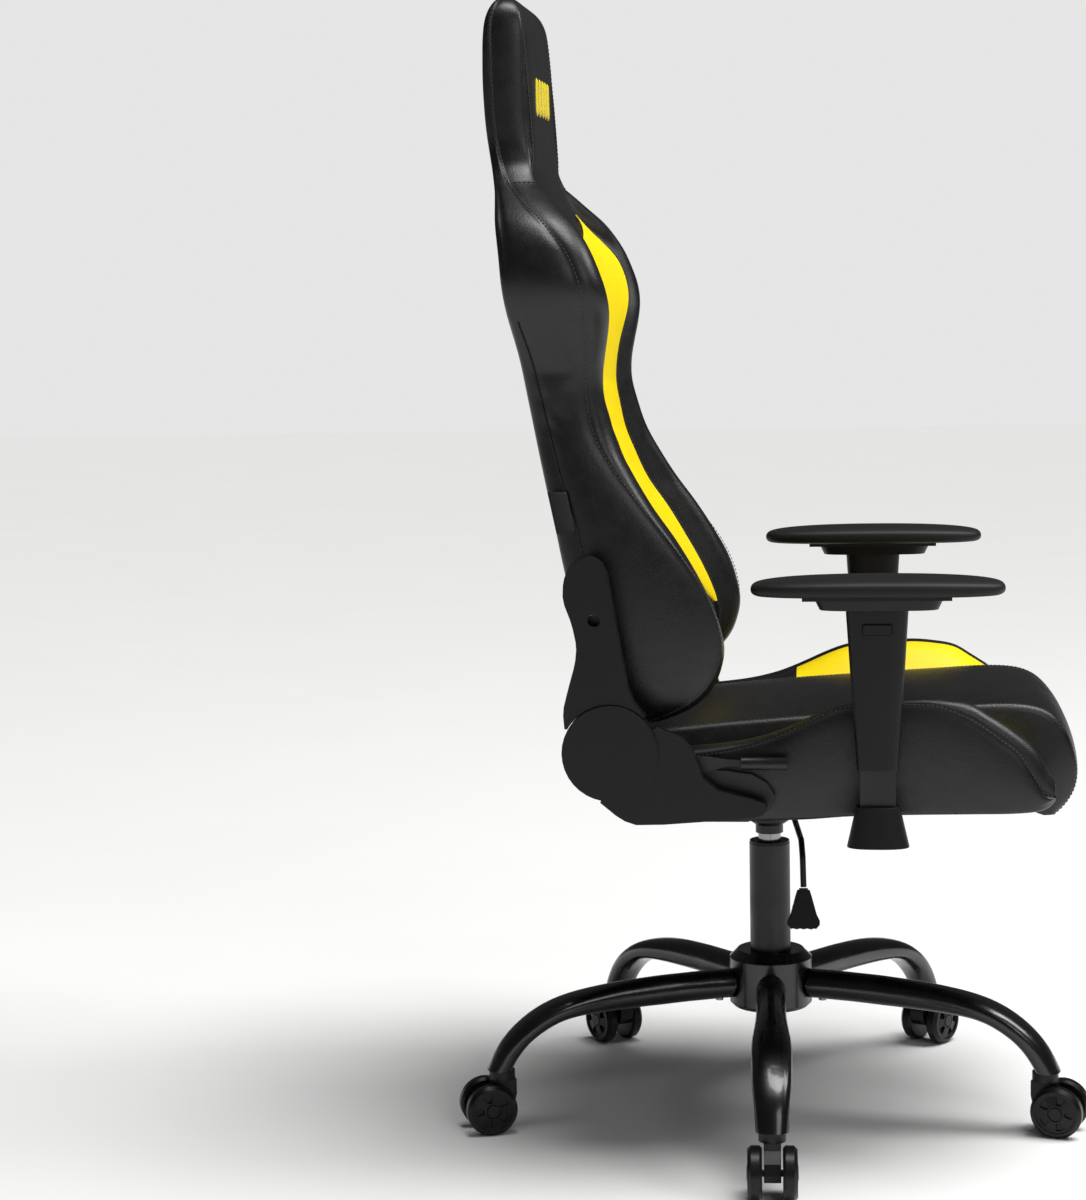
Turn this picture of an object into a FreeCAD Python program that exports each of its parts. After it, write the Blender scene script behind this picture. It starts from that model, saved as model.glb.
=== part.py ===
import FreeCAD, Part
import math
import os
import Sketcher
from FreeCAD import Placement, Rotation, Vector

# Gaming chair in millimetres. Origin on the floor under the gas lift; the chair faces -Y,
# +X is the sitter's left, +Z is up.

doc = FreeCAD.newDocument("gaming_chair")
sheet = doc.addObject("Spreadsheet::Sheet", "Sizes")


class Size:
    """A length with its value and the expression that the document keeps for it."""

    def __init__(self, value, text=None):
        self.value = float(value)
        self.text = text or "%.5f" % float(value)

    def __float__(self):
        return self.value

    def __neg__(self):
        return Size(-self.value, "(0 - %s)" % self.text)

    def __add__(self, other):
        other = as_size(other)
        return Size(self.value + other.value, "(%s + %s)" % (self.text, other.text))

    def __sub__(self, other):
        other = as_size(other)
        return Size(self.value - other.value, "(%s - %s)" % (self.text, other.text))

    def __rsub__(self, other):
        return as_size(other) - self

    def __mul__(self, other):
        other = as_size(other)
        return Size(self.value * other.value, "(%s * %s)" % (self.text, other.text))

    def __truediv__(self, other):
        other = as_size(other)
        return Size(self.value / other.value, "(%s / %s)" % (self.text, other.text))

    __radd__ = __add__
    __rmul__ = __mul__


def as_size(value):
    return value if isinstance(value, Size) else Size(value)


def size(name, value):
    """A row of the sheet, handed back as a Size; a row may follow earlier rows."""
    value = as_size(value)
    row = len(SHEET_ROWS) + 1
    SHEET_ROWS.append(name)
    sheet.set("A%d" % row, name)
    sheet.set("B%d" % row, "=" + value.text.replace("Sizes.", ""))
    sheet.setAlias("B%d" % row, name)
    return Size(value.value, "Sizes." + name)


SHEET_ROWS = []

# Running and seating gaps
gap = size("gap", 0.3)
pin_gap = size("pin_gap", 0.05)

# Five-legged base
leg_yaw = size("leg_yaw", 181.7)
hub_radius = size("hub_radius", 51)
hub_bottom = size("hub_bottom", 129)
hub_top = size("hub_top", 200)
hub_chamfer = size("hub_chamfer", 5)
spigot_radius = size("spigot_radius", 14)
spigot_reach = size("spigot_reach", 96)
leg_start_height = size("leg_start_height", 159.5)
leg_tube = size("leg_tube", 36)
leg_flat_width = size("leg_flat_width", 48)
leg_tip_height = size("leg_tip_height", 75)
leg_wall = size("leg_wall", 2.5)
stem_circle = size("stem_circle", 345)
screw_circle = size("screw_circle", 67)
screw_radius = size("screw_radius", 2.5)
screw_head_radius = size("screw_head_radius", 4.8)
screw_head_height = size("screw_head_height", 3.5)
socket_radius = size("socket_radius", 6.5)
socket_depth = size("socket_depth", 20)

# Casters
stem_radius = size("stem_radius", 5)
caster_trail = size("caster_trail", 18)
wheel_radius = size("wheel_radius", 31)
wheel_width = size("wheel_width", 16.5)
wheel_spacing = size("wheel_spacing", 40)
axle_radius = size("axle_radius", 4)
fork_web = size("fork_web", 19.5)
fork_boss_radius = size("fork_boss_radius", 15.7)

# Gas lift
lift_tube_radius = size("lift_tube_radius", 25)
lift_tube_wall = size("lift_tube_wall", 2)
lift_tube_bottom = size("lift_tube_bottom", 124)
lift_tube_top = size("lift_tube_top", 334)
bush_length = size("bush_length", 72)
bush_rim = size("bush_rim", 3)
cylinder_radius = size("cylinder_radius", 14)
cylinder_bore = size("cylinder_bore", 10)
cylinder_bottom = size("cylinder_bottom", 142)
cylinder_top = size("cylinder_top", 362)
rod_radius = size("rod_radius", 5)
rod_top = size("rod_top", 250)
valve_radius = size("valve_radius", 2.5)
valve_reach = size("valve_reach", 10)

# Seat plate, height lever and seat frame
plate_width = size("plate_width", 200)
plate_depth = size("plate_depth", 190)
plate_thickness = size("plate_thickness", 4)
frame_bottom = size("frame_bottom", 408)
frame_tube = size("frame_tube", 20)
frame_width = size("frame_width", 370)
frame_front = size("frame_front", -300)
frame_back = size("frame_back", 130)
lever_pivot = size("lever_pivot", 40)
lever_height = size("lever_height", 376)
lever_rod_radius = size("lever_rod_radius", 3.5)
paddle_reach = size("paddle_reach", 250)
foot_rise = size("foot_rise", 7)
foot_thickness = size("foot_thickness", 4)
foot_width = size("foot_width", 32)

# Seat cushions
seat_seam = size("seat_seam", 168)
seat_half_width = size("seat_half_width", 265)
seat_rear = size("seat_rear", 150)

# Recliner
recline_y = size("recline_y", 171)
recline_z = size("recline_z", 497)
recline_plate_x = size("recline_plate_x", seat_half_width + 2)
recline_plate_thickness = size("recline_plate_thickness", 5)
recline_stud_radius = size("recline_stud_radius", 8)
cover_disc_radius = size("cover_disc_radius", 55)
cover_depth = size("cover_depth", 19)
cover_wall = size("cover_wall", 2.5)
back_cover_depth = size("back_cover_depth", 17)
handle_y = size("handle_y", 95)
handle_z = size("handle_z", 478)
grip_radius = size("grip_radius", 7.5)

# Back
back_seam = size("back_seam", 150)
back_tube_radius = size("back_tube_radius", 11)
back_tube_wall = size("back_tube_wall", 2)
back_tube_x = size("back_tube_x", 200)
head_tube_x = size("head_tube_x", 90)

# Armrests
arm_x = size("arm_x", seat_half_width + 32)
arm_y = size("arm_y", -131)
post_width = size("post_width", 40)
post_thickness = size("post_thickness", 14)
post_top = size("post_top", 620)
bar_thickness = size("bar_thickness", 8)
bar_inner = size("bar_inner", 120)
bell_bottom = size("bell_bottom", 392)
bell_top = size("bell_top", 438)
bell_foot = size("bell_foot", 70)
bell_neck = size("bell_neck", 49)
sleeve_bottom = size("sleeve_bottom", 480)
sleeve_top = size("sleeve_top", 662)
sleeve_foot = size("sleeve_foot", 47)
sleeve_head = size("sleeve_head", 70)
sleeve_thickness = size("sleeve_thickness", 34)
button_width = size("button_width", 32)
button_height = size("button_height", 11)
button_z = size("button_z", 640)
button_travel = size("button_travel", 3)
pad_plate_block = size("pad_plate_block", 11.5)
pad_plate_sheet = size("pad_plate_sheet", 4)
pad_width = size("pad_width", 95)
pad_rear = size("pad_rear", 10)
pad_front = size("pad_front", -273)
pad_height = size("pad_height", 22.5)

doc.recompute()

NODES = []


def keep(label, thing):
    """Marks an object as a sub-part: its Label names its file."""
    thing.Label = label
    NODES.append(thing)
    return thing


def new_body(label):
    return keep(label, doc.addObject("PartDesign::Body", "body_" + label))


def plane(body, role):
    return next(item for item in body.Origin.OriginFeatures if item.Role == role)


def place_sketch(body, role, offset):
    sketch = body.newObject("Sketcher::SketchObject", "outline")
    sketch.AttachmentSupport = [(plane(body, role), "")]
    sketch.MapMode = "FlatFace"
    offset = as_size(offset)
    sketch.AttachmentOffset = Placement(Vector(0, 0, offset.value), Rotation())
    sketch.setExpression("AttachmentOffset.Base.z", offset.text)
    return sketch


def pin_point(sketch, index, position, u, v):
    """Holds one point of a sketch at u, v with dimensions bound to the sheet."""
    for kind, length in (("DistanceX", as_size(u)), ("DistanceY", as_size(v))):
        number = sketch.addConstraint(
            Sketcher.Constraint(kind, -1, 1, index, position, length.value))
        sketch.setExpression("Constraints[%d]" % number, length.text)


def outline(body, role, points, offset=0, holes=()):
    """A closed polygon, with round holes (u, v, radius)."""
    sketch = place_sketch(body, role, offset)
    corners = [Vector(float(u), float(v), 0) for u, v in points]
    count = len(corners)
    for index in range(count):
        line = Part.LineSegment(corners[index], corners[(index + 1) % count])
        sketch.addGeometry(line, False)
    for index in range(count):
        sketch.addConstraint(
            Sketcher.Constraint("Coincident", index, 2, (index + 1) % count, 1))
        pin_point(sketch, index, 1, *points[index])
    for u, v, radius in holes:
        add_circle(sketch, u, v, radius)
    return sketch


def add_circle(sketch, u, v, radius):
    centre = Vector(float(u), float(v), 0)
    radius = as_size(radius)
    index = sketch.addGeometry(Part.Circle(centre, Vector(0, 0, 1), radius.value), False)
    pin_point(sketch, index, 3, u, v)
    number = sketch.addConstraint(Sketcher.Constraint("Radius", index, radius.value))
    sketch.setExpression("Constraints[%d]" % number, radius.text)


def feature(body, kind, sketch, **settings):
    """A sketch-based feature; a Size among the settings is bound to the sheet."""
    result = body.newObject("PartDesign::" + kind, kind)
    result.Profile = sketch
    for name, setting in settings.items():
        if isinstance(setting, Size):
            setattr(result, name, setting.value)
            result.setExpression(name, setting.text)
        else:
            setattr(result, name, setting)
    body.Tip = result
    return result


def pad(body, sketch, length, **settings):
    return feature(body, "Pad", sketch, Length=as_size(length), **settings)


def pocket(body, sketch, length, **settings):
    return feature(body, "Pocket", sketch, Length=as_size(length), **settings)


def revolve(body, sketch, kind="Revolution", axis="V_Axis"):
    return feature(body, kind, sketch, ReferenceAxis=(sketch, [axis]), Angle=360.0)


def bound(thing, **settings):
    """Sets properties of a Part primitive and binds them to the sheet."""
    for name, setting in settings.items():
        setting = as_size(setting)
        name = name.replace("__", ".")
        thing.setExpression(name, setting.text)
    return thing


AXIS_TURN = {
    "x": Rotation(Vector(0, 1, 0), 90),
    "y": Rotation(Vector(1, 0, 0), -90),
    "z": Rotation(),
}


def cylinder(radius, length, x=0, y=0, z=0, axis="z"):
    rod = doc.addObject("Part::Cylinder", "rod")
    rod.Placement = Placement(Vector(float(x), float(y), float(z)), AXIS_TURN[axis])
    bound(rod, Radius=radius, Height=length, Placement__Base__x=x,
          Placement__Base__y=y, Placement__Base__z=z)
    return rod


def box(low, high):
    """A block between two corners."""
    block = doc.addObject("Part::Box", "block")
    low = [as_size(item) for item in low]
    high = [as_size(item) for item in high]
    bound(block, Length=high[0] - low[0], Width=high[1] - low[1], Height=high[2] - low[2],
          Placement__Base__x=low[0], Placement__Base__y=low[1], Placement__Base__z=low[2])
    return block


def fuse(*pieces):
    result = doc.addObject("Part::MultiFuse", "joined")
    result.Shapes = list(pieces)
    result.Refine = True
    return result


def cut(base, *tools):
    result = doc.addObject("Part::Cut", "trimmed")
    result.Base = base
    result.Tool = tools[0] if len(tools) == 1 else fuse(*tools)
    result.Refine = True
    return result


def group(*pieces):
    result = doc.addObject("Part::Compound", "set")
    result.Links = list(pieces)
    return result


def free_shape(shape, placement=None):
    """A solid made with Part's own functions, for forms that no sketch gives."""
    result = doc.addObject("Part::Feature", "form")
    result.Shape = shape
    if placement:
        result.Placement = placement
    return result


def turned(angle, x=0, y=0, z=0):
    """A turn about Z after a shift."""
    turn = Rotation(Vector(0, 0, 1), angle)
    return Placement(turn.multVec(Vector(float(x), float(y), float(z))), turn)


def ring_wire(centre, across, upward, width, height, power=2.0, count=16):
    """A closed rounded section; a higher power makes it squarer."""
    points = []
    for step in range(count):
        angle = 2 * math.pi * step / count
        c = math.cos(angle)
        s = math.sin(angle)
        u = math.copysign(abs(c) ** (2 / power), c) * width / 2
        v = math.copysign(abs(s) ** (2 / power), s) * height / 2
        points.append(centre + across * u + upward * v)
    curve = Part.BSplineCurve()
    curve.interpolate(points, PeriodicFlag=True)
    return Part.Wire([curve.toShape()])


def polygon_loft(sections, ruled=False):
    """A solid through closed polygons with the same number of corners."""
    wires = [Part.makePolygon(list(points) + [points[0]]) for points in sections]
    return Part.makeLoft(wires, True, ruled)


# ---------------------------------------------------------------- base
# The hub carries the gas lift; the legs slide over its five spigots.

hub = new_body("base_hub")
pad_outline = outline(hub, "XZ_Plane", [
    (lift_tube_radius, hub_bottom),
    (hub_radius - hub_chamfer, hub_bottom),
    (hub_radius, hub_bottom + hub_chamfer),
    (hub_radius, hub_top - hub_chamfer * 2),
    (hub_radius - hub_chamfer * 2, hub_top),
    (lift_tube_radius, hub_top)])
revolve(hub, pad_outline)
spigot_outline = place_sketch(hub, "YZ_Plane", lift_tube_radius + 6)
add_circle(spigot_outline, 0, leg_start_height, spigot_radius)
spigot = pad(hub, spigot_outline, spigot_reach - lift_tube_radius - 6)
doc.recompute()
spigots = hub.newObject("PartDesign::PolarPattern", "spigots")
spigots.Originals = [spigot]
spigots.Axis = (plane(hub, "Z_Axis"), [""])
spigots.Angle = 360
spigots.Occurrences = 5
hub.Tip = spigots
screw_holes = place_sketch(hub, "XY_Plane", leg_start_height - spigot_radius - 1)
add_circle(screw_holes, screw_circle, 0, screw_radius)
screw_hole = pocket(hub, screw_holes, spigot_radius, Reversed=True)
doc.recompute()
screw_pattern = hub.newObject("PartDesign::PolarPattern", "screw_pattern")
screw_pattern.Originals = [screw_hole]
screw_pattern.Axis = (plane(hub, "Z_Axis"), [""])
screw_pattern.Angle = 360
screw_pattern.Occurrences = 5
hub.Tip = screw_pattern
hub.Placement = turned(float(leg_yaw))

# Centre line of a leg, as shares of its reach and of its drop, and the section along it.
LEG_LINE = [(0.0, 1.0), (0.195, 0.992), (0.364, 0.970), (0.516, 0.938), (0.644, 0.888),
            (0.752, 0.799), (0.836, 0.657), (0.911, 0.456), (0.968, 0.213), (1.0, 0.0),
            (1.012, -0.095)]
LEG_WIDTHS = [(0.0, 36.0), (0.30, 36.0), (0.45, 40.0), (0.56, 45.0), (0.66, 48.0),
              (0.80, 46.0), (0.90, 41.0), (1.0, 36.0)]
LEG_THICKNESS = [(0.0, 36.0), (0.30, 36.0), (0.45, 33.0), (0.56, 29.0), (0.66, 25.5),
                 (0.80, 24.5), (0.90, 25.5), (1.0, 27.0)]
LEG_STEPS = 14
leg_start = float(hub_radius) + 1
leg_reach = float(stem_circle) + 3.5 - leg_start
leg_drop = float(leg_start_height) - float(leg_tip_height)


def along(table, place):
    """Straight-line reading of a table of (place, value)."""
    if place <= table[0][0]:
        return table[0][1]
    for (first, low), (second, high) in zip(table, table[1:]):
        if place <= second:
            return low + (high - low) * (place - first) / (second - first)
    return table[-1][1]


def leg_rings(line, first, last, steps, wall):
    """Sections of the leg between two shares of its length, drawn in by a wall."""
    widen = float(leg_flat_width) / 48.0
    thicken = float(leg_tube) / 36.0
    wires = []
    for step in range(steps + 1):
        share = first + (last - first) * step / steps
        at = line.FirstParameter + share * (line.LastParameter - line.FirstParameter)
        run = line.tangent(at)[0]
        upward = Vector(-run.z, 0, run.x)
        width = along(LEG_WIDTHS, share)
        width = width * thicken if width <= 36.0 else width * widen
        height = along(LEG_THICKNESS, share) * thicken
        power = along([(0.3, 2.0), (0.6, 2.5)], share)
        wires.append(ring_wire(line.value(at), Vector(0, 1, 0), upward, width - 2 * wall,
                               height - 2 * wall, power))
    return wires


def leg_shape():
    line = Part.BSplineCurve()
    line.interpolate([Vector(leg_start + out * leg_reach, 0,
                             float(leg_tip_height) + high * leg_drop) for out, high in LEG_LINE])
    shares = [i / 200 for i in range(201)]
    places = [line.value(line.FirstParameter + share * (line.LastParameter - line.FirstParameter))
              for share in shares]
    socket_top = float(leg_tip_height) + float(socket_depth)
    hollow_from = min(share for share, place in zip(shares, places)
                      if place.x > float(spigot_reach) - 3)
    hollow_to = max(share for share, place in zip(shares, places)
                    if place.z > socket_top + float(leg_tube) / 2)
    blank = Part.makeLoft(leg_rings(line, 0, 1, LEG_STEPS, 0), True, False)
    hollow = leg_rings(line, hollow_from, hollow_to, LEG_STEPS - 4, float(leg_wall))
    blank = blank.cut(Part.makeLoft(hollow, True, False))
    underside = float(leg_start_height) - float(leg_tube) / 2
    tools = [
        Part.makeCylinder(float(spigot_radius), float(spigot_reach) - leg_start + 1,
                          Vector(leg_start - 1, 0, float(leg_start_height)), Vector(1, 0, 0)),
        Part.makeCylinder(float(screw_radius), 12, Vector(float(screw_circle), 0, underside - 6)),
        Part.makeCylinder(float(screw_head_radius) + float(gap), 8,
                          Vector(float(screw_circle), 0, underside + 1.5 - 8)),
        Part.makeCylinder(float(socket_radius), float(socket_depth) + 5,
                          Vector(float(stem_circle), 0, float(leg_tip_height) - 5)),
        Part.makeBox(200, 200, 60, Vector(float(stem_circle) - 100, -100,
                                          float(leg_tip_height) - 60)),
    ]
    for tool in tools:
        blank = blank.cut(tool)
    return blank


leg_solid = leg_shape()
LEG_ANGLES = [float(leg_yaw) + 72 * k for k in range(5)]
for k, angle in enumerate(LEG_ANGLES):
    keep("base_leg_%d" % (k + 1), free_shape(leg_solid.copy(), turned(angle)))

leg_underside = leg_start_height - leg_tube / 2
screws = []
sockets = []
for angle in LEG_ANGLES:
    shank = cylinder(screw_radius, 10, 0, 0, 1.5)
    head = cylinder(screw_head_radius, screw_head_height, 0, 0, 1.5 - screw_head_height)
    screw = fuse(shank, head)
    screw.Placement = turned(angle, screw_circle, 0, leg_underside)
    screws.append(screw)
    sleeve = cut(cylinder(socket_radius, socket_depth),
                 cylinder(stem_radius + pin_gap, socket_depth - 2, 0, 0, 0))
    sleeve.Placement = turned(angle, stem_circle, 0, leg_tip_height)
    sockets.append(sleeve)
keep("leg_screws", group(*screws))
keep("caster_sockets", group(*sockets))

# ---------------------------------------------------------------- gas lift
tube = new_body("lift_outer_tube")
revolve(tube, outline(tube, "XZ_Plane", [
    (lift_tube_radius - lift_tube_wall, lift_tube_bottom),
    (lift_tube_radius, lift_tube_bottom),
    (lift_tube_radius, lift_tube_top),
    (lift_tube_radius - lift_tube_wall, lift_tube_top)]))

tube_bore = lift_tube_radius - lift_tube_wall
guide = cut(
    fuse(cylinder(tube_bore, bush_length, 0, 0, lift_tube_top - bush_length),
         cylinder(lift_tube_radius - 0.6, bush_rim, 0, 0, lift_tube_top)),
    cylinder(cylinder_radius + pin_gap, bush_length + bush_rim + 2, 0, 0,
             lift_tube_top - bush_length - 1))
bottom_plate = cut(cylinder(tube_bore, 5, 0, 0, lift_tube_bottom),
                   cylinder(rod_radius + pin_gap, 7, 0, 0, lift_tube_bottom - 1))
keep("lift_bushes", group(guide, bottom_plate))

rod_foot = lift_tube_bottom - 5
rod = fuse(cylinder(rod_radius, rod_top - rod_foot, 0, 0, rod_foot),
           cylinder(rod_radius + 3, 2.7, 0, 0, lift_tube_bottom - gap - 2.7),
           cylinder(cylinder_bore - pin_gap, 12, 0, 0, rod_top - 12))
bearing_low = lift_tube_bottom + 5 + gap
bearing = cut(cylinder(15, 8.7, 0, 0, bearing_low),
              cylinder(rod_radius, 10, 0, 0, bearing_low - 0.5))
keep("lift_piston_rod", group(rod, bearing))

chrome = new_body("lift_cylinder")
revolve(chrome, outline(chrome, "XZ_Plane", [
    (rod_radius + pin_gap, cylinder_bottom),
    (cylinder_radius, cylinder_bottom),
    (cylinder_radius, cylinder_top),
    (valve_radius + pin_gap, cylinder_top),
    (valve_radius + pin_gap, cylinder_top - 22),
    (cylinder_bore, cylinder_top - 22),
    (cylinder_bore, cylinder_bottom + 8),
    (rod_radius + pin_gap, cylinder_bottom + 8)]))

keep("valve_pin", cylinder(valve_radius, valve_reach + 10, 0, 0, cylinder_top - 10))

# ---------------------------------------------------------------- seat plate and height lever
plate_z = frame_bottom - plate_thickness
half_w = plate_width / 2
half_d = plate_depth / 2
socket_low = cylinder_top - 15
plate = box((-half_w, -half_d, plate_z), (half_w, half_d, frame_bottom))
front_flange = box((-70, -half_d + 10, plate_z - 22), (70, -half_d + 13, plate_z))
back_flange = box((-70, half_d - 13, plate_z - 22), (70, half_d - 10, plate_z))
collar = cylinder(cylinder_radius + 3, 10, 0, 0, socket_low)
cone = doc.addObject("Part::Cone", "cone")
bound(cone, Radius1=cylinder_radius + 3, Radius2=cylinder_radius + 10, Height=5,
      Placement__Base__z=socket_low + 10)
barrel = cylinder(cylinder_radius + 10, plate_z - socket_low - 15, 0, 0, socket_low + 15)
ear_low = lever_height - 7
ears = [box((-lever_pivot - 6, side - 1.5, ear_low), (-lever_pivot + 6, side + 1.5, plate_z))
        for side in (-8, 8)]
bore = cylinder(cylinder_radius, plate_z - socket_low, 0, 0, socket_low)
slot = box((-cylinder_radius - 12, -6, lever_height - 8), (0, 6, lever_height + 8))
pin_hole = cylinder(2.5 + pin_gap, 30, -lever_pivot, -15, lever_height, "y")
SCREW_SPOTS = [(sx, sy) for sx in (-1, 1) for sy in (-1, 1)]
screw_x = half_w - 18
screw_y = 75
plate_holes = [cylinder(3, 12, screw_x * sx, screw_y * sy, plate_z - 1)
               for sx, sy in SCREW_SPOTS]
mechanism = cut(fuse(plate, front_flange, back_flange, collar, cone, barrel, *ears),
                bore, slot, pin_hole, *plate_holes)
keep("seat_mechanism", mechanism)

plate_screws = []
for sx, sy in SCREW_SPOTS:
    plate_screws.append(fuse(
        cylinder(3, plate_thickness + 12, screw_x * sx, screw_y * sy, plate_z),
        cylinder(6, 4, screw_x * sx, screw_y * sy, plate_z - 4)))
keep("mechanism_screws", group(*plate_screws))


def tube_path(points, radius, bend):
    """A round bar along straight runs joined by tangent bends."""
    pieces = []
    start = points[0]
    for before, corner, after in zip(points, points[1:], points[2:]):
        enter = (before - corner).normalize()
        leave = (after - corner).normalize()
        half_turn = (math.pi - enter.getAngle(leave)) / 2
        setback = bend * math.tan(half_turn)
        first = corner + enter * setback
        last = corner + leave * setback
        centre = corner + (enter + leave).normalize() * (bend / math.cos(half_turn))
        run = first - start
        pieces.append(Part.makeCylinder(radius, run.Length, start, run))
        ring = Part.Face(Part.Wire([Part.Circle(first, enter, radius).toShape()]))
        axis = (first - centre).cross(last - centre)
        pieces.append(ring.revolve(centre, axis, math.degrees(2 * half_turn)))
        start = last
    run = points[-1] - start
    pieces.append(Part.makeCylinder(radius, run.Length, start, run))
    return pieces[0].fuse(pieces[1:]).removeSplitter()


pz = float(lever_height)
px = float(lever_pivot)
reach = float(paddle_reach)
lever_path = [Vector(6, 0, pz), Vector(-px - 14, 0, pz), Vector(-px - 48, -32, pz + 7),
              Vector(-reach + 42, -43, pz + 4), Vector(-reach + 11, -45, pz - 9),
              Vector(-reach - 1, -46, pz - 42)]
lever_rod = tube_path(lever_path, float(lever_rod_radius), 14)
boss = Part.makeCylinder(5, 12.4, Vector(-px, -6.2, pz), Vector(0, 1, 0))
pivot_pin = Part.makeCylinder(2.5, 19, Vector(-px, -9.5, pz), Vector(0, 1, 0))
lever_rod = lever_rod.fuse([boss, pivot_pin]).removeSplitter()
keep("gas_lever_rod", free_shape(lever_rod))

paddle = doc.addObject("PartDesign::Body", "paddle_blank")
pad(paddle, outline(paddle, "YZ_Plane", [
    (-7, 2), (7, 2), (9, -4), (15, -26), (18.5, -33), (18.5, -38), (14, -43), (-14, -43),
    (-18.5, -38), (-18.5, -33), (-15, -26), (-9, -4)]), 9, Midplane=True)
grips = place_sketch(paddle, "YZ_Plane", 0)
for column in (-12, -4, 4, 12):
    add_circle(grips, column, -46.2, 4)
pocket(paddle, grips, 20, Midplane=True)
socket = outline(paddle, "XY_Plane", [(-4.6, -5), (4.6, -5), (4.6, 5), (-4.6, 5)], -8)
pad(paddle, socket, 12)
paddle.Placement = Placement(lever_path[-1] + Vector(-6, 0, -4), Rotation(Vector(0, 1, 0), 14))
doc.recompute()
rod_tool = free_shape(lever_rod.copy())
keep("gas_lever_paddle", cut(paddle, rod_tool))

# ---------------------------------------------------------------- seat frame
seat_frame = new_body("seat_frame")
half_frame = frame_width / 2
pad(seat_frame, outline(seat_frame, "XY_Plane", [
    (-half_frame, frame_front), (half_frame, frame_front),
    (half_frame, frame_back), (-half_frame, frame_back)], frame_bottom), frame_tube)
bracket_y = arm_y
WINDOWS = [
    (frame_front + frame_tube, bracket_y - 22),
    (bracket_y + 22, -85),
    (-65, 65),
    (85, frame_back - frame_tube)]
for low_y, high_y in WINDOWS:
    window = outline(seat_frame, "XY_Plane", [
        (frame_tube - half_frame, low_y), (half_frame - frame_tube, low_y),
        (half_frame - frame_tube, high_y), (frame_tube - half_frame, high_y)], frame_bottom)
    pocket(seat_frame, window, frame_tube, Reversed=True)
frame_holes = place_sketch(seat_frame, "XY_Plane", frame_bottom)
for sx, sy in SCREW_SPOTS:
    add_circle(frame_holes, screw_x * sx, screw_y * sy, 3)
pocket(seat_frame, frame_holes, 12, Reversed=True)

# ---------------------------------------------------------------- seat cushions
cushion_low = frame_bottom + frame_tube + gap
centre = new_body("seat_cushion")
SEAT_TOP = [(150, 505), (91, 510), (42, 516), (-6, 520), (-50, 523), (-139, 528), (-215, 532),
            (-266, 536), (-303, 535), (-335, 526), (-354, 507), (-367, 482), (-376, 446),
            (-371, 412), (-360, 395)]
seat_side = [(seat_rear, 505)] + SEAT_TOP[1:]
seat_side += [(-344, 392), (-334, 400), (frame_front - 4, cushion_low), (seat_rear, cushion_low)]
pad(centre, outline(centre, "YZ_Plane", seat_side), seat_seam * 2, Midplane=True)

# Each bolster: distance along Y, underside, outer seam, crest and inner edge heights.
BOLSTER = [
    (150, 409, 478, 496, 502),
    (91, 409, 488, 503, 508),
    (42, 409, 494, 506, 514),
    (0, 410, 501, 512, 518),
    (-39, 413, 518, 527, 521),
    (-70, 415, 533, 541, 523),
    (-107, 418, 545, 551, 526),
    (-163, 420, 546, 554, 529),
    (-208, 421, 542, 553, 532),
    (-240, 422, 528, 547, 534),
    (-268, 423, 507, 532, 536),
    (-292, 424, 485, 510, 530),
    (-314, 428, 456, 482, 500),
    (-330, 433, 437, 446, 452)]


def seat_bolster(side):
    inner = float(seat_seam) + float(gap)
    outer = float(seat_half_width)
    sections = []
    for y, low, seam, crest, top in BOLSTER:
        y = min(y, float(seat_rear))
        half = [(inner, low), (outer - 8, low), (outer, low + 10), (outer, seam - 12),
                (outer - 3, seam), (outer - 18, crest), (inner, top)]
        if y < -310:
            half[2] = (outer, low + 1)
            half[3] = (outer, low + 2)
        sections.append([Vector(side * x, y, z) for x, z in half])
    return polygon_loft(sections)


# The bolsters hang down beside the frame's rails, with slots for the recliners' feet.
FOOT_SPOTS = (20, 95)
foot_low = frame_bottom + foot_rise
foot_high = foot_low + foot_thickness
for side, name in ((1, "left"), (-1, "right")):
    solid = seat_bolster(side)
    low_x = float(half_frame) + float(gap)
    rail = Part.makeBox(low_x, 520, float(frame_tube) + float(gap) + 40,
                        Vector(0 if side > 0 else -low_x, -345,
                               float(cushion_low) - float(frame_tube) - float(gap) - 40))
    below = Part.makeBox(800, 800, 60, Vector(-400, -400, float(frame_bottom) + float(gap) - 60))
    solid = solid.cut(rail).cut(below)
    for foot_y in FOOT_SPOTS:
        slot_x = float(half_frame) if side > 0 else -float(seat_half_width) - 10
        slot = Part.makeBox(float(seat_half_width) + 10 - float(half_frame),
                            float(foot_width) + 2 * float(gap), 60,
                            Vector(slot_x, foot_y - float(gap), float(foot_high + gap) - 60))
        solid = solid.cut(slot)
    keep("seat_bolster_" + name, free_shape(solid))

# ---------------------------------------------------------------- recliner
# Seat plates stand on the frame, back plates swing outside them, covers go over both.
plate_out = recline_plate_x + recline_plate_thickness
back_plate_in = plate_out + 0.5
back_plate_out = back_plate_in + recline_plate_thickness
cover_in = back_plate_out + 0.8


def disc(radius, count=24, start=0, stop=360, y=None, z=None):
    """Points of a round edge about the recline axis."""
    y = recline_y if y is None else y
    z = recline_z if z is None else z
    points = []
    for step in range(count):
        angle = math.radians(start + (stop - start) * step / (count - 1))
        points.append((y + radius * round(math.cos(angle), 6), z + radius * round(math.sin(angle), 6)))
    return points


SEAT_PLATE = [(-7, 426), (-14, 434), (-15, 445), (-6, 459), (11, 469), (40, 473), (70, 474),
              (82, 488), (98, 496)]
LEFT_RIGHT = ((1, "left"), (-1, "right"))


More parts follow.
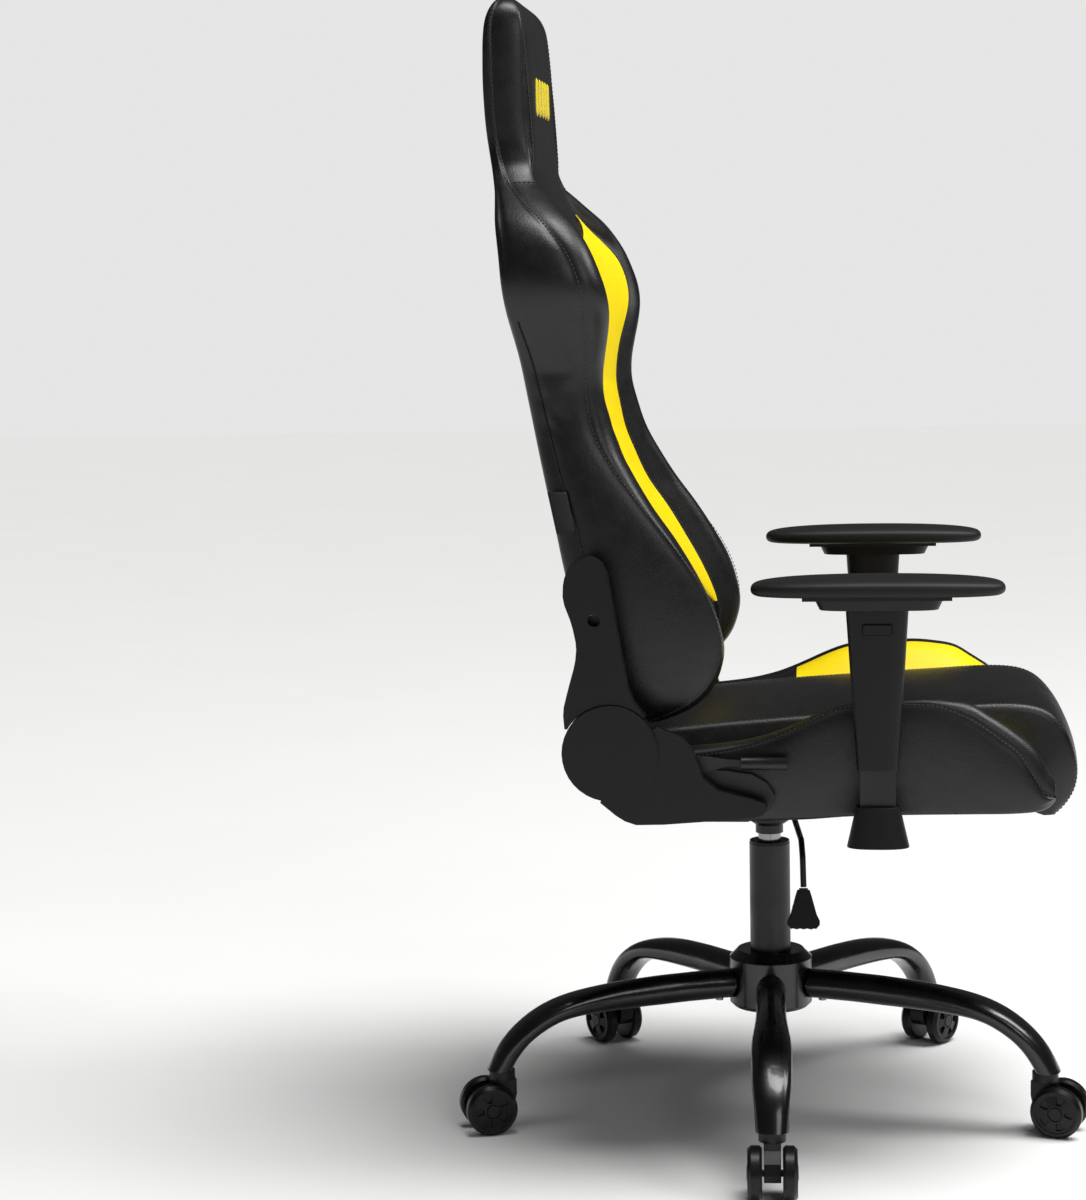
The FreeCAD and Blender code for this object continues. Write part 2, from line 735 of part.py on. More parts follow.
def softened(points):
    """The same closed outline with each corner cut once, as a moulding's corners are."""
    soft = []
    for (y, z), (next_y, next_z) in zip(points, points[1:] + points[:1]):
        soft.append((0.8 * y + 0.2 * next_y, 0.8 * z + 0.2 * next_z))
        soft.append((0.2 * y + 0.8 * next_y, 0.2 * z + 0.8 * next_z))
    return soft


for side, name in LEFT_RIGHT:
    low_x = recline_plate_x if side > 0 else -plate_out
    blank = doc.addObject("PartDesign::Body", "seat_plate_blank")
    points = SEAT_PLATE + disc(43, 14, 150, -60) + [(150, 440), (132, 414), (16, 414)]
    holes = [(recline_y, recline_z, recline_stud_radius + pin_gap)]
    if side < 0:
        holes.append((handle_y, handle_z, axle_radius + pin_gap))
    pad(blank, outline(blank, "YZ_Plane", points, low_x, holes), recline_plate_thickness)
    feet = []
    for foot_y in FOOT_SPOTS:
        low_x, high_x = (half_frame, plate_out) if side > 0 else (-plate_out, -half_frame)
        feet.append(box((low_x, foot_y, foot_low), (high_x, foot_y + foot_width, foot_high)))
    keep("recliner_seat_plate_" + name, fuse(blank, *feet))

COVER_ARM = [(127, 532), (80, 509), (61, 457), (-4, 441), (-7, 432), (2, 423), (138, 413),
             (159, 420), (189, 445)]
SCREW_POINTS = [(171, 440), (33, 436)]
for side, name in LEFT_RIGHT:
    cover = new_body("recliner_cover_" + name)
    direction = dict(Reversed=side < 0)
    face = cover_in if side > 0 else -cover_in
    pad(cover, outline(cover, "YZ_Plane", disc(cover_disc_radius, 36, 0, 350), face),
        cover_depth, **direction)
    pad(cover, outline(cover, "YZ_Plane", softened(COVER_ARM), face), cover_depth - 3, **direction)
    inside = cover_disc_radius - cover_wall
    pocket(cover, outline(cover, "YZ_Plane", disc(inside, 36, 0, 350), face),
           cover_depth - cover_wall, Reversed=side > 0)
    arm_hollow = [(118, 525), (86, 506), (66, 454), (0, 438), (3, 427), (136, 416), (157, 422),
                  (170, 445)]
    pocket(cover, outline(cover, "YZ_Plane", softened(arm_hollow), face),
           cover_depth - 3 - cover_wall, Reversed=side > 0)
    back_face = plate_out if side > 0 else -plate_out
    bosses = place_sketch(cover, "YZ_Plane", back_face)
    for y, z in SCREW_POINTS:
        add_circle(bosses, y, z, 7)
    pad(cover, bosses, cover_in - plate_out + cover_depth - 5, **direction)

# ---------------------------------------------------------------- recline lever
lever_in = plate_out + 1
lever = new_body("recline_lever")
pad(lever, outline(lever, "YZ_Plane", [
    (106, 478), (101, 487), (88, 490), (60, 490), (40, 487), (20, 486), (20, 480), (40, 479),
    (62, 472), (84, 467), (99, 469)], -lever_in), 4, Reversed=True)
pin_outline = place_sketch(lever, "YZ_Plane", -recline_plate_x)
add_circle(pin_outline, handle_y, handle_z, axle_radius)
pad(lever, pin_outline, lever_in - recline_plate_x + 4, Reversed=True)
grip_outline = place_sketch(lever, "XZ_Plane", -23)
add_circle(grip_outline, -(lever_in + grip_radius - 0.5), 483, grip_radius)
pad(lever, grip_outline, 52)

# ---------------------------------------------------------------- back
# Height, rear surface, centre front surface of the back.
BACK_REAR = [(522, 186), (545, 193), (585, 200), (608, 204), (660, 216), (737, 232),
             (809, 247), (872, 260), (930, 271), (974, 279), (1020, 287), (1067, 294),
             (1101, 297), (1130, 300), (1148, 302)]


BACK_CENTRE = [(522, 152), (545, 136), (585, 120), (608, 116), (660, 124), (737, 148),
               (809, 176), (872, 196), (930, 208), (974, 214), (1020, 220), (1067, 232),
               (1101, 242), (1130, 252), (1148, 259)]
# Height, outer half width, crest half width, crest front.
BACK_BOLSTER = [
    (522, 242, 222, 118),
    (545, 254, 228, 71),
    (585, 260, 230, 46),
    (608, 261, 231, 41),
    (660, 261, 231, 55),
    (737, 256, 228, 97),
    (809, 246, 218, 143),
    (872, 238, 212, 169),
    (930, 240, 213, 175),
    (974, 254, 228, 169),
    (1020, 275, 248, 170),
    (1067, 270, 246, 187),
    (1101, 247, 228, 210),
    (1130, 210, 196, 231),
    (1148, 172, 163, 248)]

FRAME_FOOT = (172, 548)
FRAME_TOP = (264, 1045)
HEAD_TOP = (294, 1300)


def frame_at(z):
    """Where the side tube stands at a height."""
    return along([(FRAME_FOOT[1], FRAME_FOOT[0]), (FRAME_TOP[1], FRAME_TOP[0])], z)


tube_r = float(back_tube_radius)
tube_x = float(back_tube_x)
head_x = float(head_tube_x)
TUBE_LINES = [
    [Vector(-tube_x, *FRAME_FOOT), Vector(-tube_x, *FRAME_TOP),
     Vector(tube_x, *FRAME_TOP), Vector(tube_x, *FRAME_FOOT)],
    [Vector(-head_x, *FRAME_TOP), Vector(-head_x, *HEAD_TOP),
     Vector(head_x, *HEAD_TOP), Vector(head_x, *FRAME_TOP)]]
bore_r = tube_r - float(back_tube_wall)
back_tubes = []
back_bores = []
# The head hoop is a slightly thinner tube, welded onto the top of the main hoop.
for line, thinner in zip(TUBE_LINES, (0, 1)):
    back_tubes.append(tube_path(line, tube_r - thinner, 40))
    back_bores.append(tube_path(line, bore_r - thinner, 40))
for z in (580, 820):
    foot = Vector(-tube_x, frame_at(z), z)
    back_tubes.append(Part.makeCylinder(tube_r - 2, 2 * tube_x, foot, Vector(1, 0, 0)))
    back_bores.append(Part.makeCylinder(bore_r - 2, 2 * tube_x, foot, Vector(1, 0, 0)))
SPACER_SPOTS = [(frame_at(600), 600), (frame_at(660), 660)]
for side in (-1, 1):
    for y, z in SPACER_SPOTS:
        back_tubes.append(Part.makeCylinder(8, float(back_plate_in) - tube_x,
                                            Vector(side * tube_x, y, z), Vector(side, 0, 0)))
inner_frame = back_tubes[0].fuse(back_tubes[1:])

BACK_PLATE = [(214, 560), (203, 612), (204, 640), (214, 678), (212, 700), (198, 714),
              (184, 708), (176, 690), (160, 612), (148, 556)]
tube_frame = free_shape(inner_frame)
plates = []
for side in (-1, 1):
    blank = doc.addObject("PartDesign::Body", "back_plate_blank")
    face = back_plate_in if side > 0 else -back_plate_out
    points = BACK_PLATE + disc(40, 20, 140, 400)[:-1]
    holes = [(recline_y, recline_z, recline_stud_radius)]
    pad(blank, outline(blank, "YZ_Plane", points, face, holes), recline_plate_thickness)
    plates.append(blank)
bolt_holes = []
bolts = []
for side in (-1, 1):
    start = side * back_plate_out - 32 if side > 0 else -back_plate_out
    for y, z in SPACER_SPOTS:
        bolt_holes.append(cylinder(4, 32, start, y, z, "x"))
        head_start = back_plate_out if side > 0 else -back_plate_out - 3.5
        bolts.append(fuse(cylinder(4, 32, start, y, z, "x"),
                          cylinder(7, 3.5, head_start, y, z, "x")))
    stud_start = recline_plate_x if side > 0 else -back_plate_out - 3
    stud_length = back_plate_out - recline_plate_x + 3
    bolts.append(cylinder(recline_stud_radius, stud_length, stud_start, recline_y, recline_z, "x"))
tube_bores = free_shape(back_bores[0].fuse(back_bores[1:]))
keep("back_frame", cut(fuse(tube_frame, *plates), tube_bores, *bolt_holes))
keep("back_bolts", group(*bolts))

HEAD = [(1182, 266, 312, 148), (1217, 268, 317, 149), (1262, 270, 320, 150),
        (1300, 272, 319, 148), (1326, 275, 315, 140), (1344, 279, 310, 126),
        (1356, 285, 306, 104), (1362, 292, 302, 80)]


def centre_section(z, front, rear, half):
    soft = min(14.0, (rear - front) * 0.3)
    return [Vector(x, y, z) for x, y in (
        (-half, rear - soft), (-half + soft, rear), (half - soft, rear), (half, rear - soft),
        (half, front + soft), (half - soft * 2, front), (-half + soft * 2, front),
        (-half, front + soft))]


sections = []
for (z, rear), (_, front) in zip(BACK_REAR, BACK_CENTRE):
    sections.append(centre_section(z, front, rear, float(back_seam)))
for z, front, rear, half in HEAD:
    sections.append(centre_section(z, front, rear, half * float(back_seam) / 150.0))
centre_solid = polygon_loft(sections).cut(inner_frame)
keep("back_cushion", free_shape(centre_solid))

for side, name in LEFT_RIGHT:
    inner = float(back_seam) + float(gap)
    sections = []
    for (z, outer, crest_x, crest_y), (_, rear), (_, front) in zip(
            BACK_BOLSTER, BACK_REAR, BACK_CENTRE):
        mid = (rear + crest_y) / 2
        points = [(inner, rear), (outer - 12, rear), (outer, mid + 12), (outer - 5, crest_y + 18),
                  (crest_x, crest_y), (inner, front)]
        sections.append([Vector(side * x, y, z) for x, y in points])
    keep("back_bolster_" + name, free_shape(polygon_loft(sections).cut(inner_frame)))

UPPER_COVER = [(222, 672), (221, 694), (214, 711), (202, 720), (190, 722), (179, 716),
               (172, 704), (169, 689), (157, 615), (147, 561), (126, 533), (222, 520), (224, 545),
               (218, 569), (209, 600), (207, 620), (212, 645)]
for side, name in LEFT_RIGHT:
    cover = doc.addObject("PartDesign::Body", "back_cover_blank")
    face = back_plate_out if side > 0 else -back_plate_out
    pad(cover, outline(cover, "YZ_Plane", softened(UPPER_COVER), face), back_cover_depth,
        Reversed=side < 0)
    hollow = [(216, 672), (211, 707), (190, 716), (178, 702), (163, 615), (152, 562),
              (210, 562), (203, 600), (202, 622)]
    pocket(cover, outline(cover, "YZ_Plane", softened(hollow), face), back_cover_depth - cover_wall,
           Reversed=side > 0)
    hole = place_sketch(cover, "YZ_Plane", face)
    add_circle(hole, recline_y + 16, recline_z + 152, 7)
    pocket(cover, hole, back_cover_depth + 1, Reversed=side > 0)
    low_x = back_plate_out - 1 if side > 0 else -back_plate_out - back_cover_depth - 1
    round_gap = cylinder(cover_disc_radius + 2 * gap, back_cover_depth + 2, low_x, recline_y,
                         recline_z, "x")
    keep("back_bracket_cover_" + name, cut(cover, round_gap))

# ---------------------------------------------------------------- armrests
bar_low = plate_z - bar_thickness + plate_thickness
half_post = post_width / 2
half_thick = post_thickness / 2


def rounded_prism(low, high, width_low, depth_low, width_high, depth_high, y, x, power):
    """A tapered hollow's outer form between two heights; a low power is rounder."""
    wires = [ring_wire(Vector(x, y, level), Vector(1, 0, 0), Vector(0, 1, 0), width, depth,
                       power, 24)
             for level, width, depth in ((low, width_low, depth_low),
                                         (high, width_high, depth_high))]
    return Part.makeLoft(wires, True, False)


for side, name in LEFT_RIGHT:
    x = arm_x * side
    inner_end = bar_inner * side
    outer_end = x + half_thick * side
    low_x, high_x = (inner_end, outer_end) if side > 0 else (outer_end, inner_end)
    bar = box((low_x, arm_y - half_post, bar_low), (high_x, arm_y + half_post, frame_bottom))
    post = box((x - half_thick, arm_y - half_post, bar_low),
               (x + half_thick, arm_y + half_post, post_top))
    bracket = keep("arm_bracket_" + name, fuse(bar, post))

    bell = free_shape(rounded_prism(float(bell_bottom), float(bell_top), 44, float(bell_foot),
                                    31, float(bell_neck), float(arm_y), float(x), 2.7))
    foot_hollow = free_shape(rounded_prism(float(bell_bottom) - 1, float(bell_bottom) + 12, 38,
                                           float(bell_foot) - 6, 33, float(bell_foot) - 16,
                                           float(arm_y), float(x), 2.7))
    post_hole = box((x - half_thick, arm_y - half_post, bell_bottom - 2),
                    (x + half_thick, arm_y + half_post, bell_top + 2))
    bar_end = x - 40 * side
    low_x, high_x = (bar_end, x) if side > 0 else (x, bar_end)
    bar_hole = box((low_x, arm_y - half_post, bar_low), (high_x, arm_y + half_post, frame_bottom))
    keep("arm_base_cover_" + name, cut(bell, foot_hollow, post_hole, bar_hole))

    outer = free_shape(rounded_prism(float(sleeve_bottom), float(sleeve_top),
                                     float(sleeve_thickness) - 4, float(sleeve_foot),
                                     float(sleeve_thickness), float(sleeve_head),
                                     float(arm_y), float(x), 3.4))
    clear = gap + 0.1
    bore = box((x - half_thick - clear, arm_y - half_post - clear, sleeve_bottom - 1),
               (x + half_thick + clear, arm_y + half_post + clear, sleeve_top - 4))
    face_x = x + sleeve_thickness / 2 * side
    deep_x = x + (half_thick + 1.5) * side
    low_x, high_x = (deep_x, face_x + 5) if side > 0 else (face_x - 5, deep_x)
    button_room = box((low_x, arm_y - button_width / 2 - gap, button_z - button_height / 2 - gap),
                      (high_x, arm_y + button_width / 2 + gap, button_z + button_height / 2 + gap))
    keep("arm_sleeve_" + name, cut(outer, bore, button_room))

    inner_x = deep_x + (button_travel + gap) * side
    outer_x = face_x + 2.5 * side
    low_x, high_x = (inner_x, outer_x) if side > 0 else (outer_x, inner_x)
    button = box((low_x, arm_y - button_width / 2, button_z - button_height / 2),
                 (high_x, arm_y + button_width / 2, button_z + button_height / 2))
    keep("arm_button_" + name, button)

    sheet_low = sleeve_top + pad_plate_block
    block = free_shape(rounded_prism(float(sleeve_top), float(sheet_low), 54, 132, 60, 143,
                                     float(arm_y) - 2, float(x), 4.0))
    sheet_plate = box((x - 32, arm_y - 82, sheet_low), (x + 32, arm_y + 83, sheet_low + pad_plate_sheet))
    keep("arm_plate_" + name, fuse(block, sheet_plate))

# Arm pads: flat underside, rounded ends and a low crown.
PAD_LEVELS = [(0.0, 0.90, 0.955), (0.12, 0.97, 0.985), (0.35, 1.0, 1.0), (0.60, 0.98, 0.99),
              (0.80, 0.88, 0.95), (0.93, 0.70, 0.85), (1.0, 0.48, 0.66)]
pad_low = float(sleeve_top) + float(pad_plate_block) + float(pad_plate_sheet)
pad_mid = (float(pad_rear) + float(pad_front)) / 2
pad_length = float(pad_rear) - float(pad_front)
for side, name in LEFT_RIGHT:
    wires = [ring_wire(Vector(side * float(arm_x), pad_mid, pad_low + share * float(pad_height)),
                       Vector(1, 0, 0), Vector(0, 1, 0), float(pad_width) * wide,
                       pad_length * long, 3.2, 28)
             for share, wide, long in PAD_LEVELS]
    keep("arm_pad_" + name, free_shape(Part.makeLoft(wires, True, False)))

# ---------------------------------------------------------------- casters
# Local frame of a caster: stem axis at the origin, wheels trailing along +X.
half_web = fork_web / 2
WEB = [(-15.7, 64), (-15.7, 46), (-13, 34), (-4, 26), (8, 22), (26, 22), (31, 31), (28, 44),
       (15.7, 56), (15.7, 64)]
HOOD = [(-15.7, 64), (-15.7, 52), (-6, 50), (4, 57), (15.7, 62), (15.7, 64)]


def caster_parts(number, angle):
    """One fork with its stem and axle, and two wheels, turned into place."""
    web = doc.addObject("PartDesign::Body", "caster_web")
    pad(web, outline(web, "XZ_Plane", WEB, 0, [(caster_trail, wheel_radius, axle_radius)]),
        fork_web, Midplane=True)
    boss = cylinder(fork_boss_radius, 11, 0, 0, leg_tip_height - 11.4)
    seat = cylinder(stem_radius, 30, 0, 0, leg_tip_height - 14)
    fork = cut(fuse(web, boss), seat)
    stem = cylinder(stem_radius, socket_depth + 10, 0, 0, leg_tip_height - 14)
    span = wheel_spacing + wheel_width - 5
    axle = cylinder(axle_radius, span, caster_trail, -span / 2, wheel_radius, "y")
    whole = group(fork, stem, axle)
    whole.Placement = turned(angle, stem_circle, 0, 0)
    keep("caster_%d_fork" % number, whole)
    for side, letter in ((-1, "a"), (1, "b")):
        wheel = doc.addObject("PartDesign::Body", "wheel_blank")
        half = wheel_width / 2
        revolve(wheel, outline(wheel, "XZ_Plane", [
            (axle_radius + pin_gap, -half), (wheel_radius - 3, -half), (wheel_radius, -half + 3),
            (wheel_radius, half - 4), (wheel_radius - 4, half), (wheel_radius - 7, half),
            (wheel_radius - 7, half - 1.5), (wheel_radius - 9, half - 1.5), (9, half + 0.6),
            (9, half - 1), (7.5, half - 1), (7.5, half + 1), (0, half + 1),
            (0, half - 2), (axle_radius + pin_gap, half - 2)]))
        window = outline(wheel, "XY_Plane", [
            (11, -2.5), (19.5, -5.5), (21, 0), (19.5, 5.5), (11, 2.5)], half - 3.5)
        recess = pocket(wheel, window, 6, Reversed=True)
        doc.recompute()
        windows = wheel.newObject("PartDesign::PolarPattern", "windows")
        windows.Originals = [recess]
        windows.Axis = (plane(wheel, "Z_Axis"), [""])
        windows.Angle = 360
        windows.Occurrences = 5
        wheel.Tip = windows
        local = Placement(Vector(float(caster_trail), side * float(wheel_spacing) / 2,
                                 float(wheel_radius)),
                          Rotation(Vector(1, 0, 0), -90 * side))
        wheel.Placement = turned(angle, stem_circle, 0, 0).multiply(local)
        keep("caster_%d_wheel_%s" % (number, letter), wheel)


for k, angle in enumerate(LEG_ANGLES):
    caster_parts(k + 1, angle)

# ---------------------------------------------------------------- checks and export
doc.recompute()
for thing in doc.Objects:
    if "Invalid" in thing.State or "Error" in thing.State:
        raise RuntimeError("failed: %s (%s)" % (thing.Name, thing.Label))
labels = [node.Label for node in NODES]
if len(set(labels)) != len(labels):
    raise RuntimeError("a label is used twice")
for node in NODES:
    if node.Shape.isNull() or not node.Shape.isValid():
        raise RuntimeError("bad shape: " + node.Label)
os.makedirs("parts", exist_ok=True)
for node in NODES:
    node.Shape.exportStep("parts/%s.step" % node.Label)
print(len(NODES), "nodes written")
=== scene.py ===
import math

import bmesh
import bpy
import numpy as np
from mathutils import Matrix, Vector
from mathutils.bvhtree import BVHTree


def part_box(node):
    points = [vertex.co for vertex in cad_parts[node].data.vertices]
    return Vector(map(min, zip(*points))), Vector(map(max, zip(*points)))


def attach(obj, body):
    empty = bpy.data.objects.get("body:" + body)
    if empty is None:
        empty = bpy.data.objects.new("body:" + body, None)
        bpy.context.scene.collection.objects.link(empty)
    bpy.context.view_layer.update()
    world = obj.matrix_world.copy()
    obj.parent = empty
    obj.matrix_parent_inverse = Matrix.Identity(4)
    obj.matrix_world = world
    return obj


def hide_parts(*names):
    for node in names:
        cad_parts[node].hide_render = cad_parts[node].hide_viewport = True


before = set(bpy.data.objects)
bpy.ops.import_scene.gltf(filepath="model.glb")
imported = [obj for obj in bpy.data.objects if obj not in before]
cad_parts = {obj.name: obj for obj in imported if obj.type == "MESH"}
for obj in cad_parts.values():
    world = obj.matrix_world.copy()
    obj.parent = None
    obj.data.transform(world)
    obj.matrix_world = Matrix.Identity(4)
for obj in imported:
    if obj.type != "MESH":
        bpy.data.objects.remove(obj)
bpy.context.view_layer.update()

# ------------------------------------------------------------------ studio
# A wide pale paper floor that runs out into a white surround, lit from overhead by a large
# soft source and by two soft boxes, one at the side and one high in front. The surround is
# white to look at but gives little light, so blacks stay deep.


def linear(hex_colour):
    """An sRGB hex colour as linear RGBA."""
    values = [int(hex_colour[i:i + 2], 16) / 255 for i in (1, 3, 5)]
    return [v / 12.92 if v <= 0.04045 else ((v + 0.055) / 1.055) ** 2.4 for v in values] + [1.0]


def add_node(tree, kind, sockets=None, **settings):
    """Adds a node with its settings; sockets holds input values, or outputs to link."""
    node = tree.nodes.new(kind)
    for name, value in settings.items():
        setattr(node, name, value)
    for key, value in (sockets or {}).items():
        if isinstance(value, bpy.types.NodeSocket):
            tree.links.new(value, node.inputs[key])
        else:
            node.inputs[key].default_value = value
    return node


def new_material(name):
    """An empty node material: its tree and its output node."""
    material = bpy.data.materials.new(name)
    material.use_nodes = True
    material.node_tree.nodes.clear()
    return material, material.node_tree


def new_piece(name, points, faces, materials, indices=None, smooth=True):
    """A mesh object from points in metres, with its faces turned outwards."""
    mesh = bpy.data.meshes.new(name)
    mesh.from_pydata([tuple(p) for p in points], [], faces)
    for material in materials:
        mesh.materials.append(material)
    if indices is not None:
        mesh.polygons.foreach_set("material_index", indices)
    mesh.polygons.foreach_set("use_smooth", [smooth] * len(mesh.polygons))
    shape = bmesh.new()
    shape.from_mesh(mesh)
    bmesh.ops.recalc_face_normals(shape, faces=shape.faces)
    shape.to_mesh(mesh)
    shape.free()
    piece = bpy.data.objects.new(name, mesh)
    bpy.context.scene.collection.objects.link(piece)
    return piece


floor_colour = "#F6F6F5"
floor_reach = 14.0
floor_points = [(-floor_reach, -floor_reach, 0), (floor_reach, -floor_reach, 0),
                (floor_reach, floor_reach, 0), (-floor_reach, floor_reach, 0)]
paper, tree = new_material("backdrop_paper")
# Matt paper, faintly mottled so that it is not a flat colour.
mottle = add_node(tree, "ShaderNodeTexNoise", {
    "Vector": add_node(tree, "ShaderNodeTexCoord").outputs["Object"], "Scale": 3.0, "Detail": 4.0})
tint = add_node(tree, "ShaderNodeMix", {
    "Factor": mottle.outputs["Fac"], "A": linear(floor_colour), "B": linear("#F2F2F1")},
    data_type="RGBA")
surface = add_node(tree, "ShaderNodeBsdfPrincipled", {
    "Base Color": tint.outputs["Result"], "Roughness": 0.9, "Specular IOR Level": 0.1})
add_node(tree, "ShaderNodeOutputMaterial", {"Surface": surface.outputs["BSDF"]})
floor = new_piece("studio_floor", floor_points, [(0, 1, 2, 3)], [paper])

scene = bpy.context.scene
scene.view_settings.view_transform = "Standard"
world = bpy.data.worlds.new("studio_air")
world.use_nodes = True
seen_directly = add_node(world.node_tree, "ShaderNodeLightPath").outputs["Is Camera Ray"]
surround_fill, surround_white = 0.07, 0.79
glow = add_node(world.node_tree, "ShaderNodeMapRange", {
    "Value": seen_directly, "To Min": surround_fill, "To Max": surround_white})
world.node_tree.links.new(glow.outputs["Result"],
                          world.node_tree.nodes["Background"].inputs["Strength"])
world.node_tree.nodes["Background"].inputs["Color"].default_value = (1.0, 1.0, 1.0, 1.0)
scene.world = world


def soft_box(name, place, target, width, height, power):
    """A rectangular soft light aimed at a point."""
    light = bpy.data.lights.new(name, "AREA")
    light.shape = "RECTANGLE"
    light.size = width
    light.size_y = height
    light.energy = power
    lamp = bpy.data.objects.new(name, light)
    lamp.location = place
    lamp.rotation_mode = "QUATERNION"
    lamp.rotation_quaternion = (Vector(target) - Vector(place)).to_track_quat("-Z", "Y")
    scene.collection.objects.link(lamp)
    return lamp


soft_box("side_box", (-3.2, -1.6, 2.6), (0.0, 0.0, 0.8), 1.4, 1.4, 20)
soft_box("front_box", (0.1, -2.6, 3.4), (0.0, 0.1, 1.0), 1.6, 1.6, 70)
overhead_strength, overhead_spread = 2.6, math.radians(32)
overhead = bpy.data.lights.new("overhead", "SUN")
overhead.energy = overhead_strength
overhead.angle = overhead_spread
overhead_lamp = bpy.data.objects.new("overhead", overhead)
overhead_lamp.rotation_mode = "QUATERNION"
overhead_lamp.rotation_quaternion = Vector((0.05, 0.2, -1.0)).to_track_quat("-Z", "Y")
scene.collection.objects.link(overhead_lamp)

camera_place = (-3.4377, -0.1032, 1.0544)
camera_focal_length = 84.53
camera_data = bpy.data.cameras.new("camera")
camera_data.sensor_width = 36.0
camera_data.lens = camera_focal_length
camera = bpy.data.objects.new("camera", camera_data)
camera_look = Vector((0.9868, 0.1090, -0.1197)).normalized()
camera_right = Vector((0.1075, -0.9940, -0.0189))
camera_right = (camera_right - camera_look * camera_right.dot(camera_look)).normalized()
camera_up = camera_right.cross(camera_look)
camera.matrix_world = Matrix.Translation(camera_place) @ Matrix((
    camera_right, camera_up, -camera_look)).transposed().to_4x4()
scene.collection.objects.link(camera)
scene.camera = camera

# ------------------------------------------------------------------ five-legged base
# Bent steel tubes and a steel hub, powder coated gloss black; the coat flows to a fine
# orange peel, with sharp highlights. The lift's outer tube has a satin black coat.


def dress(material, *nodes):
    """Gives CAD nodes a material."""
    for node in nodes:
        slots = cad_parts[node].data.materials
        slots.clear()
        slots.append(material)


def coated_metal(name, colour, roughness, peel_mm, depth, coat, bevel_mm):
    """Paint on metal: a smooth film with a slight peel, and softened edges."""
    material, tree = new_material(name)
    place = add_node(tree, "ShaderNodeTexCoord").outputs["Object"]
    peel = add_node(tree, "ShaderNodeTexNoise", {
        "Vector": place, "Scale": 1000 / peel_mm, "Detail": 2.0})
    wear = add_node(tree, "ShaderNodeTexNoise", {"Vector": place, "Scale": 22.0, "Detail": 6.0})
    gloss = add_node(tree, "ShaderNodeMapRange", {
        "Value": wear.outputs["Fac"], "From Min": 0.3, "From Max": 0.7,
        "To Min": roughness * 0.85, "To Max": roughness * 1.2})
    edge = add_node(tree, "ShaderNodeBevel", {"Radius": bevel_mm / 1000}, samples=4)
    bump = add_node(tree, "ShaderNodeBump", {
        "Height": peel.outputs["Fac"], "Normal": edge.outputs["Normal"],
        "Strength": 0.5, "Distance": depth / 1000})
    surface = add_node(tree, "ShaderNodeBsdfPrincipled", {
        "Base Color": linear(colour), "Roughness": gloss.outputs["Result"],
        "Coat Weight": coat, "Coat Roughness": 0.08, "Normal": bump.outputs["Normal"]})
    add_node(tree, "ShaderNodeOutputMaterial", {"Surface": surface.outputs["BSDF"]})
    return material


gloss_black_coat = coated_metal("powder_coat_gloss_black", "#060607", 0.26, 2.2, 0.02, 0.35, 1.2)
satin_black_coat = coated_metal("powder_coat_satin_black", "#09090A", 0.40, 1.2, 0.03, 0.0, 0.8)
dress(gloss_black_coat, "base_hub", *["base_leg_%d" % k for k in range(1, 6)])
dress(satin_black_coat, "lift_outer_tube", "seat_mechanism", "seat_frame", "back_frame",
      "gas_lever_rod", "recline_lever", "arm_bracket_left", "arm_bracket_right",
      "recliner_seat_plate_left", "recliner_seat_plate_right")

# ------------------------------------------------------------------ gas lift
# A hard-chromed pressure tube that slides in a plastic guide; zinc-plated screws and rod.
# Chrome is a near mirror with faint rings from the polishing belt.


def bare_metal(name, colour, roughness, ring_mm, depth):
    """Plated metal with fine turned rings along Z."""
    material, tree = new_material(name)
    place = add_node(tree, "ShaderNodeTexCoord").outputs["Object"]
    squeeze = add_node(tree, "ShaderNodeMapping", {"Vector": place, "Scale": (0.02, 0.02, 1.0)})
    rings = add_node(tree, "ShaderNodeTexNoise", {
        "Vector": squeeze.outputs["Vector"], "Scale": 1000 / ring_mm, "Detail": 3.0})
    gloss = add_node(tree, "ShaderNodeMapRange", {
        "Value": rings.outputs["Fac"], "To Min": roughness * 0.6, "To Max": roughness * 1.5})
    bump = add_node(tree, "ShaderNodeBump", {
        "Height": rings.outputs["Fac"], "Strength": 0.3, "Distance": depth / 1000})
    surface = add_node(tree, "ShaderNodeBsdfPrincipled", {
        "Base Color": linear(colour), "Metallic": 1.0, "Roughness": gloss.outputs["Result"],
        "Normal": bump.outputs["Normal"]})
    add_node(tree, "ShaderNodeOutputMaterial", {"Surface": surface.outputs["BSDF"]})
    return material


hard_chrome = bare_metal("hard_chrome_polished", "#8C8D90", 0.16, 0.8, 0.004)
zinc_plate = bare_metal("zinc_plated_steel", "#8E8F92", 0.32, 0.5, 0.01)
dress(hard_chrome, "lift_cylinder")
dress(zinc_plate, "lift_piston_rod", "valve_pin", "leg_screws", "caster_sockets",
      "mechanism_screws", "back_bolts")

# ------------------------------------------------------------------ moulded plastic parts
# Injection-moulded nylon and ABS: near black, with a fine spark-eroded grain from the
# mould that breaks the highlight up, and edges rounded by the tool.


